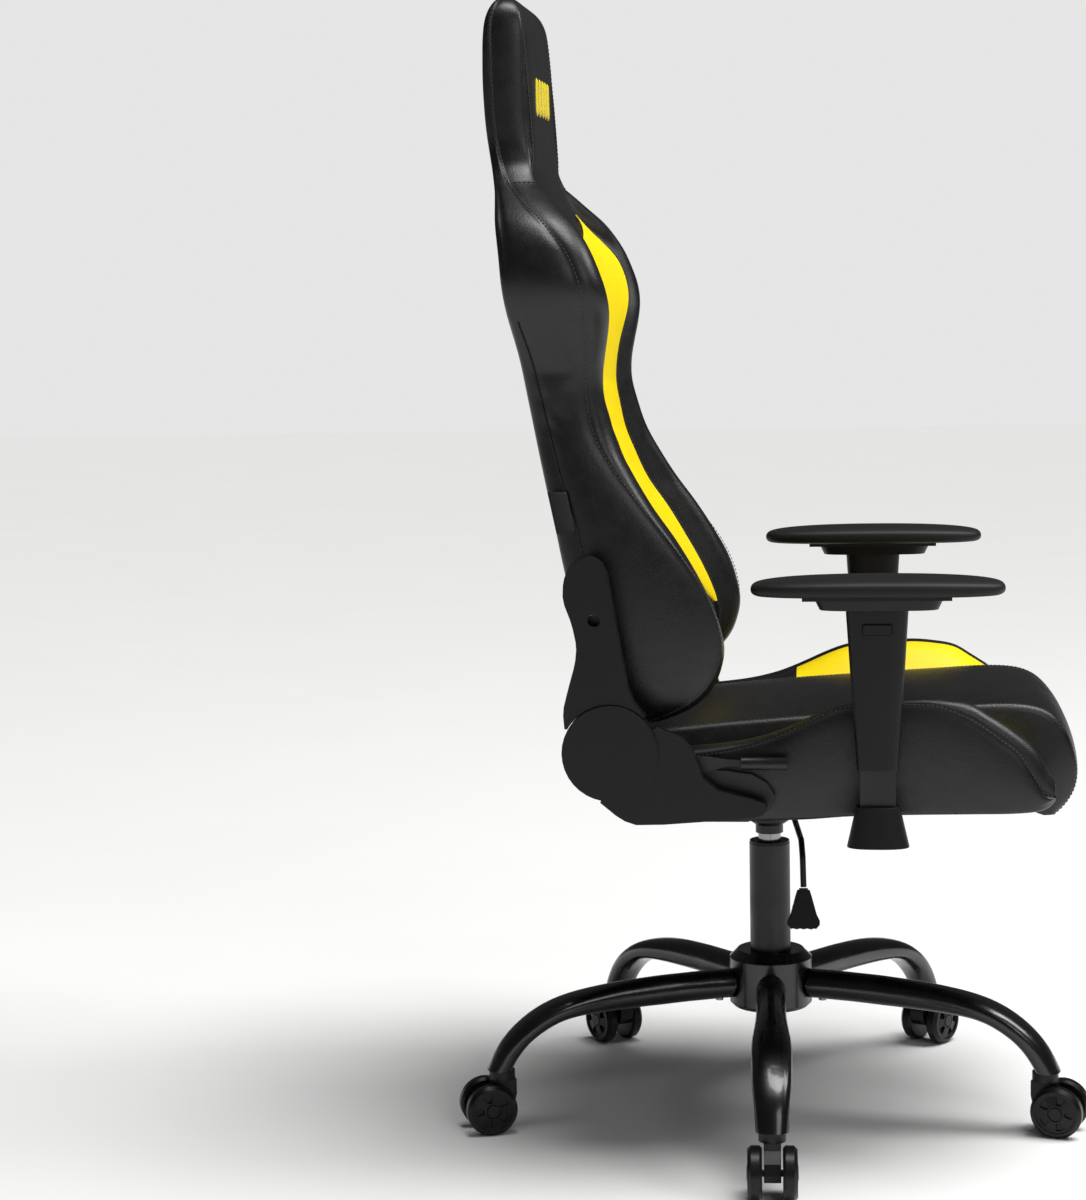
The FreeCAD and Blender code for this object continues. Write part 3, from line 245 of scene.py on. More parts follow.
def moulded_plastic(name, colour, roughness, grain_mm, depth, bevel_mm):
    material, tree = new_material(name)
    place = add_node(tree, "ShaderNodeTexCoord").outputs["Object"]
    grain = add_node(tree, "ShaderNodeTexNoise", {
        "Vector": place, "Scale": 1000 / grain_mm, "Detail": 3.0, "Roughness": 0.7})
    flow = add_node(tree, "ShaderNodeTexNoise", {"Vector": place, "Scale": 9.0, "Detail": 3.0})
    tone = add_node(tree, "ShaderNodeMix", {
        "Factor": flow.outputs["Fac"], "A": linear(colour),
        "B": [c * 1.35 for c in linear(colour)[:3]] + [1.0]}, data_type="RGBA")
    edge = add_node(tree, "ShaderNodeBevel", {"Radius": bevel_mm / 1000}, samples=4)
    bump = add_node(tree, "ShaderNodeBump", {
        "Height": grain.outputs["Fac"], "Normal": edge.outputs["Normal"],
        "Strength": 0.6, "Distance": depth / 1000})
    surface = add_node(tree, "ShaderNodeBsdfPrincipled", {
        "Base Color": tone.outputs["Result"], "Roughness": roughness,
        "Specular IOR Level": 0.3, "Normal": bump.outputs["Normal"]})
    add_node(tree, "ShaderNodeOutputMaterial", {"Surface": surface.outputs["BSDF"]})
    return material


cover_abs = moulded_plastic("abs_moulded_fine_grain", "#0C0C0E", 0.42, 0.7, 0.05, 1.6)
caster_nylon = moulded_plastic("nylon_moulded_satin", "#0B0B0C", 0.34, 0.9, 0.03, 0.9)
bush_acetal = moulded_plastic("acetal_turned_smooth", "#0D0D0E", 0.42, 1.5, 0.02, 0.8)
SIDES = (("left", 1), ("right", -1))
for side, _ in SIDES:
    dress(cover_abs, "recliner_cover_" + side, "back_bracket_cover_" + side,
          "arm_base_cover_" + side, "arm_sleeve_" + side, "arm_button_" + side,
          "arm_plate_" + side)
dress(cover_abs, "gas_lever_paddle")
dress(bush_acetal, "lift_bushes")
for k in range(1, 6):
    dress(caster_nylon, "caster_%d_fork" % k, "caster_%d_wheel_a" % k, "caster_%d_wheel_b" % k)

# ------------------------------------------------------------------ backrest upholstery
# One sewn cover over moulded foam: a centre panel that runs up into the head, yellow
# panels on the inner slopes of the side bolsters, black rolls over their crests, side
# panels and a plain rear. Synthetic leather with a pebble grain and a soft sheen.


def pebbled_leather(name, colour, dark, roughness, pebble_mm, depth, shine):
    """Coated fabric embossed with pebbles, with painted shade: the colour runs a little darker with
    the crease noise that also sets the grain's depth.
    """
    material, tree = new_material(name)
    place = add_node(tree, "ShaderNodeTexCoord").outputs["Object"]
    pebbles = add_node(tree, "ShaderNodeTexVoronoi", {
        "Vector": place, "Scale": 1000 / pebble_mm, "Randomness": 0.9}, feature="SMOOTH_F1")
    creases = add_node(tree, "ShaderNodeTexNoise", {
        "Vector": place, "Scale": 55.0, "Detail": 6.0, "Roughness": 0.65})
    height = add_node(tree, "ShaderNodeMath", {
        0: pebbles.outputs["Distance"], 1: creases.outputs["Fac"]}, operation="MULTIPLY")
    # Painted shade: where the crease noise is low the colour falls to the darker shade colour.
    tone = add_node(tree, "ShaderNodeMix", {
        "Factor": creases.outputs["Fac"], "A": linear(dark), "B": linear(colour)},
        data_type="RGBA")
    gloss = add_node(tree, "ShaderNodeMapRange", {
        "Value": creases.outputs["Fac"], "From Min": 0.3, "From Max": 0.7,
        "To Min": roughness * 0.88, "To Max": roughness * 1.15})
    bump = add_node(tree, "ShaderNodeBump", {
        "Height": height.outputs["Value"], "Strength": 0.55, "Distance": depth / 1000},
        invert=True)
    surface = add_node(tree, "ShaderNodeBsdfPrincipled", {
        "Base Color": tone.outputs["Result"], "Roughness": gloss.outputs["Result"],
        "Specular IOR Level": shine, "Normal": bump.outputs["Normal"]})
    add_node(tree, "ShaderNodeOutputMaterial", {"Surface": surface.outputs["BSDF"]})
    return material


# The second colour of each leather is its painted shade in the grain.
black_leather = pebbled_leather("pu_leather_black", "#0B0B0D", "#060607", 0.39, 1.7, 0.55, 0.5)
yellow_leather = pebbled_leather("pu_leather_yellow", "#FFE300", "#FBDC00", 0.5, 1.7, 0.25, 0.3)


def reading(table):
    """A smooth curve through (place, value) pairs, as a function of the place."""
    places = np.array([row[0] for row in table], float)
    values = np.array([row[1] for row in table], float)
    steps = np.diff(values) / np.diff(places)
    slopes = np.concatenate([[steps[0]], (steps[1:] + steps[:-1]) / 2, [steps[-1]]])

    def read(place):
        place = min(max(place, places[0]), places[-1])
        i = min(int(np.searchsorted(places, place, "right")) - 1, len(places) - 2)
        i = max(i, 0)
        gap = places[i + 1] - places[i]
        t = (place - places[i]) / gap
        return float((2 * t**3 - 3 * t**2 + 1) * values[i] + (t**3 - 2 * t**2 + t) * gap * slopes[i]
                     + (3 * t**2 - 2 * t**3) * values[i + 1] + (t**3 - t**2) * gap * slopes[i + 1])
    return read


def ease(value):
    value = min(max(value, 0.0), 1.0)
    return value * value * (3 - 2 * value)


def bezier(a, b, c, d, count):
    """Points from a towards d, without d itself."""
    a, b, c, d = (np.array(p, float) for p in (a, b, c, d))
    return [(1 - t)**3 * a + 3 * (1 - t)**2 * t * b + 3 * (1 - t) * t**2 * c + t**3 * d
            for t in (i / count for i in range(count))]


# Heights and depths in millimetres: (height, value).
back_rear = reading([(522, 186), (545, 192), (585, 199), (608, 204), (660, 216), (711, 227),
                     (746, 234), (787, 243), (839, 254), (896, 265), (947, 274), (982, 282),
                     (1021, 288), (1061, 292), (1095, 297), (1130, 302), (1148, 307),
                     (1195, 316), (1252, 320), (1287, 320), (1315, 319), (1334, 316.5),
                     (1346, 312), (1354, 307), (1359, 302), (1362, 298)])
side_seam = reading([(522, 138), (530, 118), (544, 92), (562, 70), (585, 54), (611, 46),
                     (639, 49), (668, 59), (693, 73), (725, 97), (760, 125), (794, 152),
                     (828, 176), (857, 191), (897, 198), (930, 199), (964, 198), (998, 198),
                     (1026, 201), (1052, 210), (1071, 221), (1082, 230), (1105, 250),
                     (1122, 269), (1142, 287), (1160, 297), (1182, 303), (1217, 308),
                     (1263, 310), (1303, 311), (1326, 311), (1340, 309), (1350, 305),
                     (1357, 301), (1362, 296)])
crest_depth = reading([(522, 120), (530, 97), (544, 73), (562, 56), (585, 46), (608, 42),
                       (631, 46), (660, 56), (697, 74), (737, 98), (769, 121), (809, 145),
                       (838, 160), (872, 171), (901, 178), (927, 178), (952, 174),
                       (974, 170), (997, 168), (1020, 171), (1044, 179), (1067, 189),
                       (1085, 200), (1101, 212), (1122, 234), (1148, 258), (1182, 266),
                       (1217, 270), (1262, 272), (1308, 272), (1333, 273.5), (1346, 277),
                       (1354, 281.5), (1359, 286), (1362, 290)])
crest_width = reading([(522, 220), (560, 230), (660, 231), (737, 228), (809, 218), (872, 212),
                       (930, 213), (974, 228), (1020, 248), (1050, 249), (1075, 242),
                       (1101, 226), (1130, 192), (1148, 166), (1168, 150), (1200, 145),
                       (1262, 145), (1300, 144), (1326, 142), (1340, 138), (1350, 130),
                       (1357, 118), (1362, 100)])
outer_width = reading([(522, 236), (535, 249), (560, 257), (608, 261), (660, 261), (737, 256),
                       (809, 246), (872, 238), (930, 240), (974, 254), (1005, 272),
                       (1030, 276), (1055, 272), (1080, 262), (1101, 247), (1125, 215),
                       (1142, 184), (1160, 162), (1182, 152), (1217, 150), (1262, 150),
                       (1300, 150), (1326, 148.5), (1340, 145), (1350, 138), (1357, 127),
                       (1362, 108)])
seam_inset = reading([(522, 10), (560, 18), (602, 27), (690, 36), (732, 36), (775, 34), (814, 28),
                      (892, 19), (924, 17), (957, 17), (1014, 12), (1055, 12), (1079, 20),
                      (1104, 25), (1128, 14), (1148, 3), (1362, 1)])
centre_depth = reading([(522, 150), (545, 134), (585, 119), (608, 115), (660, 125), (737, 154),
                        (809, 187), (872, 207), (930, 217), (974, 220), (1020, 224),
                        (1067, 231), (1101, 241), (1130, 252), (1148, 260), (1182, 268),
                        (1217, 271), (1262, 273), (1308, 273), (1333, 274.5), (1346, 278),
                        (1354, 282), (1359, 286.5), (1362, 290)])
yellow_low, yellow_high = 602, 1104
yellow_share = reading([(602, 0), (630, 0.3), (670, 0.6), (737, 0.95), (780, 1), (1362, 1)])
zip_inset = reading([(522, 30), (608, 29), (746, 26), (783, 22), (818, 20), (914, 16), (986, 12),
                     (1100, 9), (1148, 5), (1362, 3)])
centre_half_width = 150
C, Y, R1, R2, S, K, B = 10, 6, 4, 6, 8, 3, 9
CENTRE_SEAM = C
YELLOW_SEAM = CENTRE_SEAM + Y
CREST = YELLOW_SEAM + R1
SIDE_SEAM = CREST + R2
ZIP_LINE = SIDE_SEAM + S
REAR_CORNER = ZIP_LINE + K


def back_half_section(z):
    """Half of the backrest's outline at a height, from the centre front to the centre rear."""
    head = ease((z - 1125) / 45)
    outer = outer_width(z)
    crest = np.array([crest_width(z), crest_depth(z)])
    inset = 20 * (1 - head) + 6 * head
    roll_in = np.array([crest[0] - inset, crest[1] + seam_inset(z)])
    seam_x = min(centre_half_width, roll_in[0] - 12)
    middle = np.array([0.0, centre_depth(z) + 2 * (1 - head)])
    edge = np.array([seam_x, centre_depth(z)])
    side = np.array([outer, side_seam(z)])
    rear = back_rear(z)
    zip_y = max(rear - zip_inset(z), side[1] + 2)
    zipper = np.array([outer - 2, zip_y])
    corner = np.array([outer - 12, rear])
    back = np.array([0.0, rear + 3])

    slope = (roll_in - edge) / max(np.linalg.norm(roll_in - edge), 1e-6)
    path = bezier(middle, middle + (40, 0), edge - (40, -1), edge, 30)
    path += bezier(edge, edge + slope * 12 + (2, 0), roll_in - slope * 14, roll_in, 20) + [roll_in]
    path = np.array(path)
    lengths = np.concatenate([[0], np.cumsum(np.linalg.norm(np.diff(path, axis=0), axis=1))])
    wide = yellow_share(z) * min(max((yellow_high - z) / 30, 0), 1) ** 0.7
    full = lengths[-1]
    split = min(lengths[30] * wide + (full - 1) * (1 - wide), full - 1)
    places = list(np.linspace(0, split, C + 1)[:-1]) + list(np.linspace(split, full, Y + 1)[:-1])
    points = [np.array([np.interp(p, lengths, path[:, 0]), np.interp(p, lengths, path[:, 1])])
              for p in places]
    points += bezier(roll_in, roll_in + slope * (inset * 0.45), crest - (inset * 0.45, 0),
                     crest, R1)
    reach = side - crest
    points += bezier(crest, crest + (reach[0] * 0.62, 0), side - (0, reach[1] * 0.55), side, R2)
    run = zipper[1] - side[1]
    puff = min(4.0, run * 0.08)
    points += bezier(side, side + (puff, run * 0.3), zipper + (puff, -run * 0.3), zipper, S)
    points += bezier(zipper, zipper + (0, (rear - zipper[1]) * 0.7), corner + (6, 0), corner, K)
    points += bezier(corner, corner - (outer * 0.3, -1), back + (outer * 0.3, 0), back, B)
    points.append(back)
    return points


def ringed_shell(rings, caps):
    """Joins closed rings of points into a closed skin, with a fan at each end."""
    count = len(rings[0])
    points = [p for ring in rings for p in ring]
    faces = []
    for r in range(len(rings) - 1):
        for i in range(count):
            j = (i + 1) % count
            faces.append((r * count + i, r * count + j, (r + 1) * count + j, (r + 1) * count + i))
    for first, tip in ((0, caps[0]), ((len(rings) - 1) * count, caps[1])):
        points.append(tip)
        centre = len(points) - 1
        for i in range(count):
            faces.append((first + i, first + (i + 1) % count, centre))
    return points, faces


heights = [522, 524.5, 528, 533, 539] + list(np.linspace(546, 1335, 100)) + [
    1341, 1346, 1350, 1353.5, 1356.5, 1359, 1361, 1362]
rings = []
for z in heights:
    half = back_half_section(z)
    loop = half + [np.array([-p[0], p[1]]) for p in half[-2:0:-1]]
    rings.append([(p[0] / 1000, p[1] / 1000, z / 1000) for p in loop])
ring_count = len(rings[0])


def shrunk(ring, share, lift):
    """A copy of a ring drawn in towards its middle, for a softly closed end."""
    points = np.array(ring)
    middle = points.mean(axis=0)
    points = middle + (points - middle) * share
    points[:, 2] += lift
    return [tuple(p) for p in points]


low_caps = [shrunk(rings[0], 0.35, -0.0035), shrunk(rings[0], 0.75, -0.0028),
            shrunk(rings[0], 0.93, -0.0014)]
high_caps = [shrunk(rings[-1], 0.85, 0.0008), shrunk(rings[-1], 0.5, 0.0012)]
rings = low_caps + rings + high_caps
first_ring = len(low_caps)
back_points, back_faces = ringed_shell(rings, (
    tuple(np.array(rings[0]).mean(axis=0) - (0, 0, 0.0002)),
    tuple(np.array(rings[-1]).mean(axis=0) + (0, 0, 0.0001))))
half_of = [min(i, ring_count - i) for i in range(ring_count + 1)]
back_tints = []
for face in back_faces:
    ring, spot = divmod(min(face), ring_count)
    spots = sorted(half_of[v % ring_count] for v in face)
    z = heights[min(max(ring - first_ring, 0), len(heights) - 1)]
    is_yellow = (len(face) == 4 and CENTRE_SEAM <= spots[0] and spots[-1] <= YELLOW_SEAM
                 and yellow_low <= z <= yellow_high)
    back_tints.append(1 if is_yellow else 0)
back_pad = new_piece("backrest_cover", back_points, back_faces,
                     [black_leather, yellow_leather], back_tints)


def puff_up(piece, held, pressure, cap, frames=20):
    """Blows a sewn skin up like a filled cushion: held points are its seams, and no
    point moves further than the cap, in metres."""
    rest = np.array([v.co for v in piece.data.vertices])
    group = piece.vertex_groups.new(name="seams")
    group.add([int(i) for i in held], 1.0, "REPLACE")
    cloth = piece.modifiers.new("stuffing", "CLOTH")
    cloth.settings.use_pressure = True
    cloth.settings.uniform_pressure_force = pressure
    cloth.settings.effector_weights.gravity = 0
    cloth.settings.vertex_group_mass = "seams"
    cloth.settings.quality = 6
    cloth.settings.tension_stiffness = 18
    cloth.settings.compression_stiffness = 18
    cloth.settings.bending_stiffness = 0.8
    for number in range(1, frames + 1):
        scene.frame_set(number)
    evaluated = piece.evaluated_get(bpy.context.evaluated_depsgraph_get())
    blown = np.array([v.co for v in evaluated.data.vertices])
    piece.modifiers.remove(cloth)
    scene.frame_set(1)
    shift = blown - rest
    length = np.linalg.norm(shift, axis=1, keepdims=True)
    shift *= cap * np.tanh(length / cap) / np.maximum(length, 1e-9)
    piece.data.vertices.foreach_set("co", (rest + shift).ravel())
    piece.data.update()
    piece.vertex_groups.clear()


def sew(piece, rows, depth):
    """Draws seam lines in by a depth, in metres, and keeps them sharp."""
    mesh = piece.data
    mesh.update()
    normals = np.array([v.normal for v in mesh.vertices])
    points = np.array([v.co for v in mesh.vertices])
    pairs = set()
    for row in rows:
        points[row] -= normals[row] * depth
        pairs.update(tuple(sorted(pair)) for pair in zip(row, row[1:]))
    mesh.vertices.foreach_set("co", points.ravel())
    crease = mesh.attributes.new("crease_edge", "FLOAT", "EDGE")
    for edge in mesh.edges:
        if tuple(sorted(edge.vertices)) in pairs:
            crease.data[edge.index].value = 1.0
    mesh.update()


def back_row(index, mirrored=False):
    """The vertex numbers of one lengthwise line of the backrest, bottom to top."""
    spot = (ring_count - index) % ring_count if mirrored else index
    return [(first_ring + r) * ring_count + spot for r in range(len(heights))]


neck_seam_height = 1146
neck_ring = int(np.argmin([abs(z - neck_seam_height) for z in heights]))
held = set()
for index in (CENTRE_SEAM, YELLOW_SEAM, SIDE_SEAM, REAR_CORNER):
    held.update(back_row(index))
    held.update(back_row(index, True))
for spot in range(YELLOW_SEAM, SIDE_SEAM + 1):
    for shown in (spot, (ring_count - spot) % ring_count):
        held.add((first_ring + neck_ring) * ring_count + shown)
for r in list(range(first_ring + 2)) + list(range(len(rings) - 4, len(rings))):
    held.update(range(r * ring_count, (r + 1) * ring_count))
held.update(range(len(back_points) - 2, len(back_points)))
puff_up(back_pad, held, 3.0, 0.007)
seams = []
for mirrored in (False, True):
    seams += [back_row(CENTRE_SEAM, mirrored)[:neck_ring], back_row(YELLOW_SEAM, mirrored),
              back_row(SIDE_SEAM, mirrored), back_row(ZIP_LINE, mirrored)[:neck_ring]]
    seams.append([(first_ring + neck_ring) * ring_count + (s if not mirrored else ring_count - s)
                  for s in range(YELLOW_SEAM, SIDE_SEAM + 1)])
sew(back_pad, seams, 0.0013)
back_shape = np.array([v.co for v in back_pad.data.vertices])


def smooth_skin(piece):
    """Rounds a sewn or moulded skin between its own points."""
    finer = piece.modifiers.new("finer", "SUBSURF")
    finer.levels = finer.render_levels = 1


smooth_skin(back_pad)
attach(back_pad, "back")
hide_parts("back_cushion", "back_bolster_left", "back_bolster_right")

# ------------------------------------------------------------------ seat centre cushion
# A waterfall cushion: a top panel that rolls over the front edge, stitched to a border
# band that drops down its sides between the bolsters.

seat_line = [(148, 505), (121, 507), (91, 510), (60, 513.5), (30, 516), (-6, 519), (-50, 522.5),
             (-95, 525.5), (-139, 528.5), (-180, 531), (-215, 533), (-245, 535), (-270, 536),
             (-296, 535.5), (-318, 532), (-335, 524), (-347, 511), (-356, 496), (-362, 479),
             (-366, 462), (-367, 446), (-364, 431), (-358, 418), (-350, 407), (-342, 399)]
seat_floor = [(140, 434), (118, 434), (90, 434), (60, 433), (30, 433), (-6, 432), (-45, 431),
              (-85, 430), (-125, 430), (-160, 429), (-190, 428), (-214, 427), (-232, 426),
              (-246, 425), (-258, 424), (-268, 423), (-277, 421), (-284, 419), (-290, 416),
              (-295, 413), (-299, 411), (-303, 408), (-308, 405), (-315, 402), (-326, 399)]
seat_top_half = 160
seat_band_half = 167
along_y = reading([(i, p[0]) for i, p in enumerate(seat_line)])
along_z = reading([(i, p[1]) for i, p in enumerate(seat_line)])
floor_y = reading([(i, p[0]) for i, p in enumerate(seat_floor)])
floor_z = reading([(i, p[1]) for i, p in enumerate(seat_floor)])
seat_steps = 84
TOP, BAND = 12, 7
seat_rings = []
for step in range(seat_steps + 1):
    place = step / seat_steps * (len(seat_line) - 1)
    surface_at = np.array([along_y(place), along_z(place)])
    floor_at = np.array([floor_y(place), floor_z(place)])
    inward = floor_at - surface_at
    depth = np.linalg.norm(inward)
    inward /= depth
    narrow = 9 * ease((place - 17) / 7)
    half = []
    for i in range(TOP + 1):
        share = i / TOP
        half.append(((seat_top_half - narrow) * share, 6.0 * share ** 3 - 1.5))
    for i in range(1, BAND + 1):
        share = i / BAND
        x = seat_top_half - narrow + (seat_band_half - seat_top_half) * ease(share * 2.5)
        half.append((x, 4.5 + (depth - 4.5) * share))
    half += [((seat_band_half - 4) * share, depth) for share in (0.66, 0.33, 0.0)]
    loop = half + [(-x, d) for x, d in half[-2:0:-1]]
    seat_rings.append([(x / 1000, *((surface_at + inward * d) / 1000)) for x, d in loop])
seat_count = len(seat_rings[0])
seat_points, seat_faces = ringed_shell(seat_rings, (
    tuple(np.array(seat_rings[0]).mean(axis=0)), tuple(np.array(seat_rings[-1]).mean(axis=0))))
seat_pad = new_piece("seat_centre_cushion", seat_points, seat_faces, [black_leather])


def ring_row(index, count, total, mirrored=False):
    spot = (count - index) % count if mirrored else index
    return [r * count + spot for r in range(total)]


seat_held = set(range(len(seat_points) - 2, len(seat_points)))
for index in (TOP, TOP + BAND, TOP + BAND + 1, TOP + BAND + 2, TOP + BAND + 3):
    seat_held.update(ring_row(index, seat_count, seat_steps + 1))
    seat_held.update(ring_row(index, seat_count, seat_steps + 1, True))
seat_held.update(range(seat_count))
seat_held.update(range(seat_steps * seat_count, (seat_steps + 1) * seat_count))
puff_up(seat_pad, seat_held, 2.5, 0.006)
sew(seat_pad, [ring_row(TOP, seat_count, seat_steps + 1),
               ring_row(TOP, seat_count, seat_steps + 1, True)], 0.0014)
seat_shape = np.array([v.co for v in seat_pad.data.vertices])
smooth_skin(seat_pad)
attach(seat_pad, "seat")
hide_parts("seat_cushion")

# ------------------------------------------------------------------ seat bolsters
# Raised sides: a yellow inner slope, a black roll over the crest, a stitched seam below
# it and a plain black side panel that hangs to the underside of the frame.

bolster_low = reading([(-332, 434), (-329, 430), (-322, 425), (-310, 422), (-290, 420),
                       (-240, 419), (-163, 418), (-94, 416), (-56, 413), (0, 411), (31, 410),
                       (150, 410)])
bolster_seam = reading([(-332, 440), (-326, 441), (-318, 444), (-311, 455), (-292, 486),
                        (-268, 506), (-238, 527), (-207, 541), (-180, 545.5), (-162, 546),
                        (-107, 545), (-86, 540), (-57, 528), (-20, 510), (17, 497), (60, 488),
                        (150, 478)])
bolster_crest = reading([(-332, 456), (-328, 462), (-314, 488), (-284, 516), (-254, 536),
                         (-238, 546), (-208, 552), (-181, 554), (-163, 553), (-130, 551.5),
                         (-95, 547), (-70, 538), (-39, 524), (-8, 512), (24, 504), (60, 499),
                         (150, 492)])
bolster_inner = reading([(-332, 441), (-314, 462), (-290, 486), (-260, 497), (-163, 500),
                         (-50, 494), (42, 486), (150, 478)])
yellow_front, yellow_back = -300, -30
bolster_half_width, crest_half_width, inner_half_width = 265, 247, 171
front_start, front_length = -334, 22
INNER, SLOPE, ROLL, SIDE, UNDER = 3, 8, 7, 10, 5
stations = [-332, -331, -329.5, -327, -323.5, -319] + list(np.linspace(-313, 140, 62)) + [
    145, 148, 149.5, 150]
bolster_shapes = []
for side, sign in SIDES:
    loops = []
    for y in stations:
        end = ease((y - front_start) / front_length)
        low, seam, crest, inner = (read(y) for read in (
            bolster_low, bolster_seam, bolster_crest, bolster_inner))
        inner = max(min(inner, crest - 3), low + 2)
        inner_x = inner_half_width + 22 * (1 - end)
        outer = bolster_half_width - 9 * (1 - end)
        crest_x = crest_half_width - 8 * (1 - end)
        a = np.array([inner_x, low + 1])
        b = np.array([inner_x, inner])
        c = np.array([crest_x - 9, crest - 1.5])
        d = np.array([crest_x, crest])
        e = np.array([outer - 2.5, seam])
        f = np.array([outer - 5, low + 6])
        g = np.array([outer - 14, low])
        points = bezier(a, a + (0, (inner - low) * 0.3), b - (0, (inner - low) * 0.3), b, INNER)
        points += bezier(b, b + (14, (crest - inner) * 0.25), c - (26, (crest - inner) * 0.12), c,
                         SLOPE)
        points += bezier(c, (c + d) / 2 + (0, 0.8), (c + d) / 2 + (2, 1.0), d, 2)
        points += bezier(d, d + (8, 0), e + (0, (crest - seam) * 0.6), e, ROLL - 2)
        drop = seam - low
        points += bezier(e, e + (4, -drop * 0.3), f + (6, drop * 0.25), f, SIDE)
        points += bezier(f, f + (0, -4), g + (6, 0), g, 2)
        points += bezier(g, g - (20, 0), a + (20, 0), a, UNDER)
        loops.append([(sign * p[0] / 1000, y / 1000, p[1] / 1000) for p in points])
    count = len(loops[0])
    points, faces = ringed_shell(loops, (tuple(np.array(loops[0]).mean(axis=0)),
                                         tuple(np.array(loops[-1]).mean(axis=0))))
    tints = []
    for face in faces:
        spots = sorted(v % count for v in face)
        y = stations[min(max(face) // count, len(stations) - 1)]
        tints.append(1 if len(face) == 4 and spots[0] >= INNER and spots[-1] <= INNER + SLOPE
                     and yellow_front < y < yellow_back else 0)
    bolster = new_piece("seat_bolster_cover_" + side, points, faces,
                        [black_leather, yellow_leather], tints)
    held = set(range(len(points) - 2, len(points)))
    for index in (0, INNER, INNER + SLOPE, INNER + SLOPE + ROLL, INNER + SLOPE + ROLL + SIDE,
                  INNER + SLOPE + ROLL + SIDE + 2):
        held.update(ring_row(index, count, len(stations)))
    for r in (0, 1, len(stations) - 2, len(stations) - 1):
        held.update(range(r * count, (r + 1) * count))
    puff_up(bolster, held, 2.5, 0.005)
    sew(bolster, [ring_row(INNER + SLOPE, count, len(stations)),
                  ring_row(INNER + SLOPE + ROLL, count, len(stations))], 0.0012)
    bolster_shapes.append(np.array([v.co for v in bolster.data.vertices]))
    bolster_count = count
    smooth_skin(bolster)
    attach(bolster, "seat")
    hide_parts("seat_bolster_" + side)

# ------------------------------------------------------------------ seam stitching
# A single row of lockstitch in black bonded thread beside each seam, about 5 mm a stitch.
# Geometry Nodes lay one short sunk stitch after another along each seam.

thread, tree = new_material("bonded_nylon_thread")
# Twisted and waxed: charcoal, so that it shows against the leather, with a dull shine.
twist = add_node(tree, "ShaderNodeTexWave", {
    "Vector": add_node(tree, "ShaderNodeTexCoord").outputs["Object"], "Scale": 900.0,
    "Distortion": 1.0})
bump = add_node(tree, "ShaderNodeBump", {
    "Height": twist.outputs["Fac"], "Strength": 0.4, "Distance": 0.0001})
surface = add_node(tree, "ShaderNodeBsdfPrincipled", {
    "Base Color": linear("#3A3A3E"), "Roughness": 0.5, "Normal": bump.outputs["Normal"]})
add_node(tree, "ShaderNodeOutputMaterial", {"Surface": surface.outputs["BSDF"]})

stitch_tree = bpy.data.node_groups.new("stitch_row", "GeometryNodeTree")
stitch_tree.interface.new_socket("Seams", in_out="INPUT", socket_type="NodeSocketGeometry")
stitch_tree.interface.new_socket("Stitch pitch", in_out="INPUT", socket_type="NodeSocketFloat")
stitch_tree.interface.new_socket("Stitch length", in_out="INPUT", socket_type="NodeSocketFloat")
stitch_tree.interface.new_socket("Thread radius", in_out="INPUT", socket_type="NodeSocketFloat")
stitch_tree.interface.new_socket("Stitches", in_out="OUTPUT", socket_type="NodeSocketGeometry")
source = add_node(stitch_tree, "NodeGroupInput")
spaced = add_node(stitch_tree, "GeometryNodeResampleCurve", {
    "Curve": source.outputs["Seams"], "Length": source.outputs["Stitch pitch"]}, mode="LENGTH")
spots = add_node(stitch_tree, "GeometryNodeCurveToPoints", {"Curve": spaced.outputs["Curve"]},
                 mode="EVALUATED")
tangent = spots.outputs["Tangent"]
bead = add_node(stitch_tree, "GeometryNodeMeshUVSphere", {"Segments": 6, "Rings": 5, "Radius": 1.0})
turn = add_node(stitch_tree, "FunctionNodeAlignRotationToVector", {"Vector": tangent}, axis="Z")
stretch = add_node(stitch_tree, "ShaderNodeCombineXYZ", {
    "X": source.outputs["Thread radius"], "Y": source.outputs["Thread radius"],
    "Z": source.outputs["Stitch length"]})
laid = add_node(stitch_tree, "GeometryNodeInstanceOnPoints", {
    "Points": spots.outputs["Points"], "Instance": bead.outputs["Mesh"],
    "Rotation": turn.outputs["Rotation"], "Scale": stretch.outputs["Vector"]})
solid = add_node(stitch_tree, "GeometryNodeRealizeInstances", {
    "Geometry": laid.outputs["Instances"]})
tinted = add_node(stitch_tree, "GeometryNodeSetMaterial", {
    "Geometry": solid.outputs["Geometry"], "Material": thread})
add_node(stitch_tree, "NodeGroupOutput", {"Stitches": tinted.outputs["Geometry"]})


def grown(name, paths, tree, settings):
    """Runs a Geometry Nodes tree over lines of points, and keeps the result as a mesh."""
    line = bpy.data.curves.new(name, "CURVE")
    line.dimensions = "3D"
    for path in paths:
        spline = line.splines.new("POLY")
        spline.points.add(len(path) - 1)
        for point, place in zip(spline.points, path):
            point.co = (*place, 1.0)
    guide = bpy.data.objects.new(name + "_guide", line)
    scene.collection.objects.link(guide)
    grow = guide.modifiers.new("grow", "NODES")
    grow.node_group = tree
    for item in tree.interface.items_tree:
        if item.item_type == "SOCKET" and item.in_out == "INPUT" and item.name in settings:
            grow[item.identifier] = settings[item.name]
    evaluated = guide.evaluated_get(bpy.context.evaluated_depsgraph_get())
    mesh = bpy.data.meshes.new_from_object(evaluated)
    mesh.name = name
    bpy.data.objects.remove(guide)
    piece = bpy.data.objects.new(name, mesh)
    scene.collection.objects.link(piece)
    mesh.polygons.foreach_set("use_smooth", [True] * len(mesh.polygons))
    return piece


